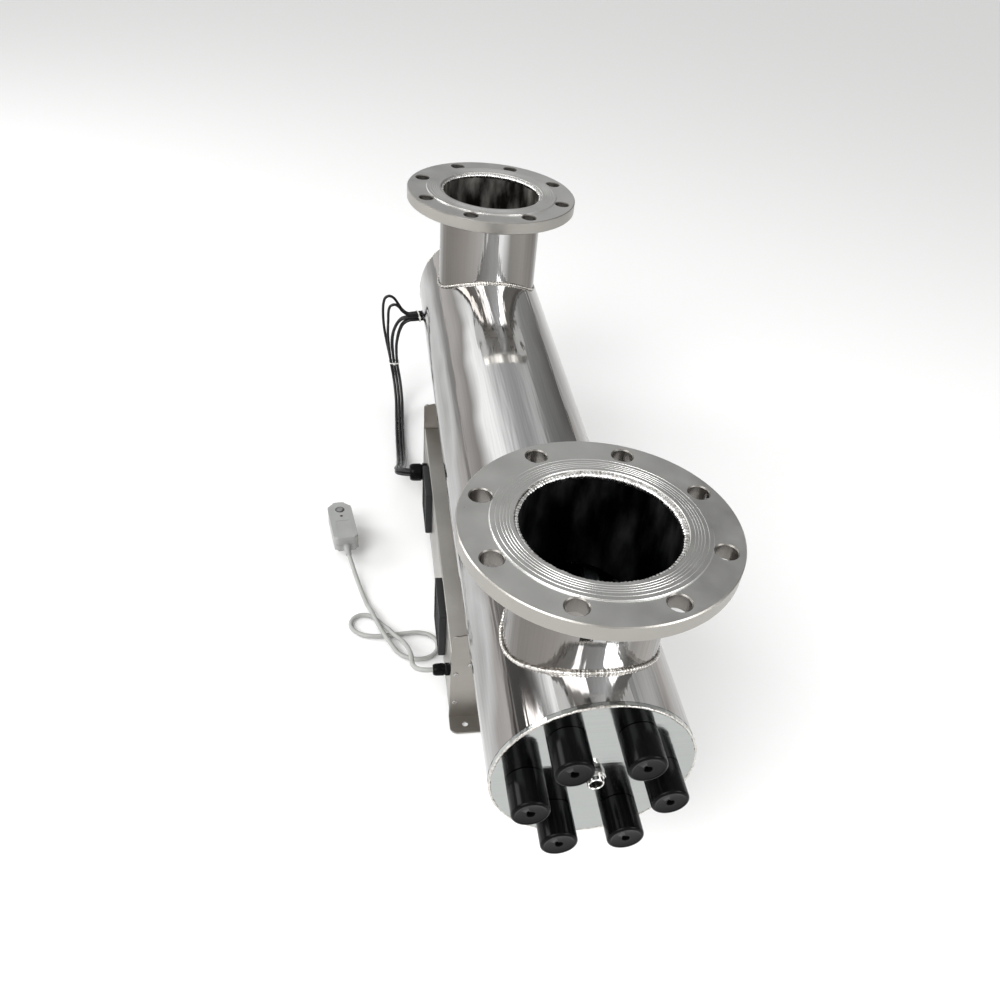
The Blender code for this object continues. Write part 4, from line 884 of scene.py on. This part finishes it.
def make_fan_cover(side, y):
    """Square frame with eight sloping slats; its own X is up and its own Z points away from the box."""
    shape = bmesh.new()
    half, depth, wall, slats = 0.042, 0.010, 0.0042, 8
    opening = half - wall
    outer, inner = square(half, 0.004), square(opening, 0.002)
    levels = ((outer, 1, 0), (outer, 1, depth - 0.0012), (outer, 0.985, depth),
              (inner, 1.01, depth), (inner, 1, depth - 0.0010), (inner, 1, 0))
    join_rings(shape, [[shape.verts.new((up * share, across * share, z)) for up, across in line]
                       for line, share, z in levels])
    for slat in range(slats):
        before = set(shape.verts)
        block(shape, (-0.0011, -opening - 0.0005, -0.0042), (0.0011, opening + 0.0005, 0.0042), 0.0004, 1)
        new = [vert for vert in shape.verts if vert not in before]
        bmesh.ops.rotate(shape, cent=(0, 0, 0), matrix=Matrix.Rotation(SLAT_SLOPE, 3, "Y"), verts=new)
        height = (slat - (slats - 1) / 2) * 2 * opening / slats
        bmesh.ops.translate(shape, vec=(height, 0, 0.0048), verts=new)
    cover = piece(side + "_fan_grille", shape, GREY_DARK, along_minus_x(-BOX_X - SEAT_GAP, y, FAN_Z),
                  slot="black_plastic")
    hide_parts(side + "_fan_cover")


for side, y, outward in (("front", -SADDLE_Y, -1), ("rear", SADDLE_Y, 1)):
    make_saddle(side, y, outward)
make_box()
for side, y in FAN_YS.items():
    make_fan_cover(side, y)
for number, (x, z) in enumerate(((-0.112, 0.094), (-0.112, 0.035), (-0.093, 0.112), (0.112, 0.094),
                                 (0.112, 0.035), (0.093, 0.112)), 1):
    screw("front_screw_%d" % number, along_minus_y(x, -SADDLE_Y - 0.00125, z))
    screw("rear_screw_%d" % number, along_y(x, SADDLE_Y + 0.00125, z))


# ---------------------------------------- glands, ties and plug
def make_gland(name, y, radius, length, bore, flats):
    """Washer, nut with its flats, then the domed cap round the cable."""
    shape = bmesh.new()
    nut, dome = 0.30 * length, 0.95 * radius
    lathe(shape, [(bore, -0.006), (0.72 * radius, -0.006), (0.72 * radius, 0.0004), (bore, 0.0004)], 64,
          closed=True)
    lathe(shape, [(bore, 0.0004), (0.93 * radius, 0.0004), (radius, 0.0014), (radius, nut - 0.001),
                  (0.93 * radius, nut), (bore, nut)], flats, closed=True)
    end = max(0.66 * radius, bore + 0.0008)
    rounding = [(end + (dome - end) * math.cos(t), 0.72 * length + 0.28 * length * math.sin(t))
                for t in (math.pi / 2 * s / 10 for s in range(11))]
    lathe(shape, [(bore, nut), (0.86 * radius, nut), (0.86 * radius, 0.35 * length), (dome, 0.40 * length),
                  *rounding, (bore, length), (bore, 0.8 * length)], 96, closed=True)
    gland = piece(name + "_body", shape, CAP, along_minus_x(-BOX_X, y, GLAND_Z), 35, slot="black_plastic")
    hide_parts(name)


make_gland("mains_gland", MAINS_Y, 0.0092, 0.024, 0.0038, 6)
make_gland("loom_gland", LOOM_Y, 0.0160, 0.031, 0.0106, 12)


def make_boot():
    """Ribbed, tapered sleeve round the last stretch of the mains cable."""
    reach, near, far = 0.024, 0.0068, 0.0046
    spots, gone = [], 0.0
    for after, before in zip(reversed(mains_line), reversed(mains_line[:-1])):
        spots.append((after, gone))
        gone += (after - before).length
        if gone > reach:
            break
    shape = bmesh.new()
    rings, last = [], len(spots) - 1
    for step, (spot, run) in enumerate(spots):
        tangent = (spots[max(step - 1, 0)][0] - spots[min(step + 1, last)][0]).normalized()
        across = tangent.cross(Vector((0, 0, 1))).normalized()
        over = across.cross(tangent)
        radius = near + (far - near) * run / reach - (0.0007 if step % 3 == 1 else 0)
        rings.append([shape.verts.new(spot + across * radius * math.cos(t) + over * radius * math.sin(t))
                      for t in full_turn(40)])
    ends = [[shape.verts.new(spots[end][0] + (vert.co - spots[end][0]).normalized() * MAINS_RADIUS)
             for vert in rings[end]] for end in (-1, 0)]
    join_rings(shape, rings + ends)
    return piece("plug_boot", shape, PLASTIC, sharp=50, slot="grey_plastic")


def make_shell(corners, height, place):
    """Plug body with a blank label recess, a seam all round and a well for the button."""
    shape = bmesh.new()
    outline = rounded(corners, 10)
    outline_block(shape, outline, 0, height)
    soften_rims(shape, 0.003, 5)
    body = piece("plug_shell", shape, [PLASTIC, RING], place, slot="grey_plastic")
    recess = bmesh.new()
    block(recess, (-0.0115, -0.031, height - 0.0005), (0.0115, -0.002, height + 0.01))
    cut(body, recess, "label_recess", place)
    seam = bmesh.new()
    levels = ((1.02, 1.01, 0.0128), (1.02, 1.01, 0.0134), (0.972, 0.989, 0.0134), (0.972, 0.989, 0.0128))
    join_rings(seam, [[seam.verts.new((x * wide, y * long, z)) for x, y in outline]
                      for wide, long, z in levels])
    cut(body, seam, "seam", place)
    well = rods(rod_profile(0.0059, height - 0.0035, height + 0.01), 64)
    cut(body, well, "well", place @ Matrix.Translation((0, BUTTON_Y, 0)))
    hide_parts("plug_body")
    return body


def make_plug():
    wide, long, height = 0.040 / 2, 0.097 / 2, 0.028
    corners = [(-wide, -long, 0.009), (wide, -long, 0.009), (wide, long, 0.0175), (-wide, long, 0.0175)]
    body = make_shell(corners, height, plug_place(PLUG_BOTTOM))
    top = plug_place(PLUG_BOTTOM + height)
    above_button = top @ Matrix.Translation((0, BUTTON_Y, 0))
    ring = bmesh.new()
    lathe(ring, [(0.0060, -0.003), (0.0077, -0.0006), (0.0077, 0.0002), (0.0072, 0.0007), (0.0064, 0.0007),
                 (0.0060, 0.0002)], 72, closed=True)
    ring_piece = piece("button_ring", ring, RING, above_button, slot="grey_plastic")
    lens = bmesh.new()
    lathe(lens, [(0, -0.001), (0.0025, -0.001), (0.0025, 0.0002), (0.0014, 0.0007), (0, 0.0008)], 32)
    lens_piece = piece("plug_indicator", lens, LAMP_DOT, top @ Matrix.Translation((0, 0.0105, 0)),
                       slot="black_plastic")
    button = bmesh.new()
    lathe(button, [(0, -0.0005), (0.0055, -0.0005), (0.0055, 0.0010), (0.0050, 0.0016), (0.0040, 0.0016),
                   (0.0037, 0.0013), (0.0034, 0.0016), (0, 0.0016)], 64)
    button_piece = piece("test_button_cap", button, BUTTON, above_button, body="button", slot="grey_plastic")
    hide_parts("test_button")
    return [body, ring_piece, lens_piece, button_piece, make_boot()]


plug_pieces = make_plug()


def make_tie(name, route, spot, end_directions, slack):
    """Thin strap round the three-by-two bundle with a small lock."""
    across, over = bundle_frames(route, *end_directions)[spot]
    turn = LEAD_RADIUS + slack
    wide, high = LEAD_PITCH + turn, LEAD_PITCH / 2 + turn
    shape = bmesh.new()
    rings = []
    for extra, z in ((0, -0.0011), (0.0007, -0.0013), (0.0009, -0.0011), (0.0009, 0.0011),
                     (0.0007, 0.0013), (0, 0.0011)):
        w, h, t = wide + extra, high + extra, turn + extra
        outline = rounded([(-w, -h, t), (w, -h, t), (w, h, t), (-w, h, t)], 8)
        rings.append([shape.verts.new((x, y, z)) for x, y in outline])
    join_rings(shape, rings)
    block(shape, (-0.0022, high + 0.0006, -0.0021), (0.0022, high + 0.0036, 0.0021), 0.0005, 2)
    place = Matrix((across, over, across.cross(over))).transposed().to_4x4()
    place.translation = Vector(route[spot])
    strap = piece(name + "_strap", shape, NYLON, place, slot="white_nylon")
    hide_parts(name)


def make_tie_stub():
    """Cut end of the rear tie, standing up from the bundle."""
    shape = bmesh.new()
    block(shape, (-0.0014, -0.0005, 0), (0.0014, 0.0005, 0.011), 0.0002, 1)
    up = Vector((0.5, 0.15, 0.85)).normalized()
    across = Vector((1, 0, 0)).cross(up).normalized()
    place = Matrix((across, up.cross(across), up)).transposed().to_4x4()
    place.translation = Vector((-0.1060, 0.5890, 0.1925))
    piece("rear_tie_stub", shape, BLACK, place, slot="black_lead")


make_tie("bundle_tie", LOOM_ROUTE, len(LOOM_ROUTE) - 1, LOOM_END, 0.0009)
make_tie("rear_tie", REAR_ROUTE, 2, REAR_END, 0.0015)
make_tie_stub()


# ---------------------------------------- finishes of the kept pieces
PINS = ("live", "neutral", "earth")
KEPT = {"front_end_plate": PLATE, "rear_end_plate": PLATE, "box_bottom_cover": SHEET_Y}
KEPT.update({"quartz_sleeve_%d" % n: QUARTZ for n in range(1, 7)})
KEPT.update({"uv_lamp_%d" % n: LAMP for n in range(1, 7)})
KEPT.update({side + "_ballast": CASE for side in FAN_YS})
KEPT.update({side + "_fan_frame": BLACK for side in FAN_YS})
KEPT.update({side + "_fan_rotor": BLACK for side in FAN_YS})
KEPT.update({kind + "_pin": BRASS for kind in PINS})
for name, material in KEPT.items():
    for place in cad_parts[name].material_slots:
        place.material = material


# ---------------------------------------- stage and light
def make_floor():
    shape = bmesh.new()
    bmesh.ops.create_grid(shape, x_segments=1, y_segments=1, size=20)
    data = bpy.data.meshes.new("floor")
    shape.to_mesh(data)
    shape.free()
    data.materials.append(shader_of("floor_paint", (0.88, 0.88, 0.88), 0.9)[0])
    made = bpy.data.objects.new("floor", data)
    scene.collection.objects.link(made)
    made.matrix_world = Matrix.Translation((0, 6, -0.0015))


def area_light(name, centre, size, aim, power):
    data = bpy.data.lights.new(name, "AREA")
    data.shape = "RECTANGLE"
    data.size, data.size_y = size
    data.energy = power
    made = bpy.data.objects.new(name, data)
    scene.collection.objects.link(made)
    turn = (Vector(aim) - Vector(centre)).to_track_quat("-Z", "Y")
    made.matrix_world = Matrix.Translation(centre) @ turn.to_matrix().to_4x4()


# brightness of the room around the part, by the angle from +Y towards +X
WORLD_BANDS = [
    (-180, 0.75), (-120, 0.9), (-70, 0.6), (-56, 0.20), (-47, 0.30), (-41, 1.15), (-22, 1.25),
    (-13, 0.80), (-4, 0.42), (6, 0.36), (13, 0.50), (18, 0.62), (23, 0.30), (34, 0.18), (44, 0.34),
    (52, 0.60), (75, 0.35), (110, 0.8), (180, 0.75)]


def make_world():
    world = bpy.data.worlds.new("studio")
    scene.world = world
    world.use_nodes = True
    tree = world.node_tree
    background = tree.nodes["Background"]
    coords = tree.nodes.new("ShaderNodeTexCoord")
    split = tree.nodes.new("ShaderNodeSeparateXYZ")
    tree.links.new(coords.outputs["Generated"], split.inputs["Vector"])
    turn = tree.nodes.new("ShaderNodeMath")
    turn.operation = "ARCTAN2"
    tree.links.new(split.outputs["X"], turn.inputs[0])
    tree.links.new(split.outputs["Y"], turn.inputs[1])
    share = ranged(tree, turn.outputs["Value"], 0.0, 1.0, -math.pi, math.pi)
    stops = [((angle + 180) / 360, (level, level, level * 0.99)) for angle, level in WORLD_BANDS]
    around = coloured(tree, share, *stops)
    above = ranged(tree, split.outputs["Z"], 0.0, 1.0, 0.80, 0.97)
    mix = tree.nodes.new("ShaderNodeMix")
    mix.data_type = "RGBA"
    mix.inputs["B"].default_value = (1, 1, 1, 1)
    tree.links.new(above, mix.inputs["Factor"])
    tree.links.new(around, mix.inputs["A"])
    tree.links.new(mix.outputs["Result"], background.inputs["Color"])
    background.inputs["Strength"].default_value = 1.0


def make_lights():
    area_light("key", (-1.6, -1.6, 2.3), (1.8, 1.8), aim=(0, 0, 0.2), power=62)
    area_light("side", (-2.6, 0.9, 1.5), (1.2, 1.2), aim=(0, 0.1, 0.2), power=34)
    area_light("fill", (1.8, -1.9, 1.7), (1.4, 1.2), aim=(0, -0.3, 0.25), power=34)


make_floor()
make_world()
make_lights()
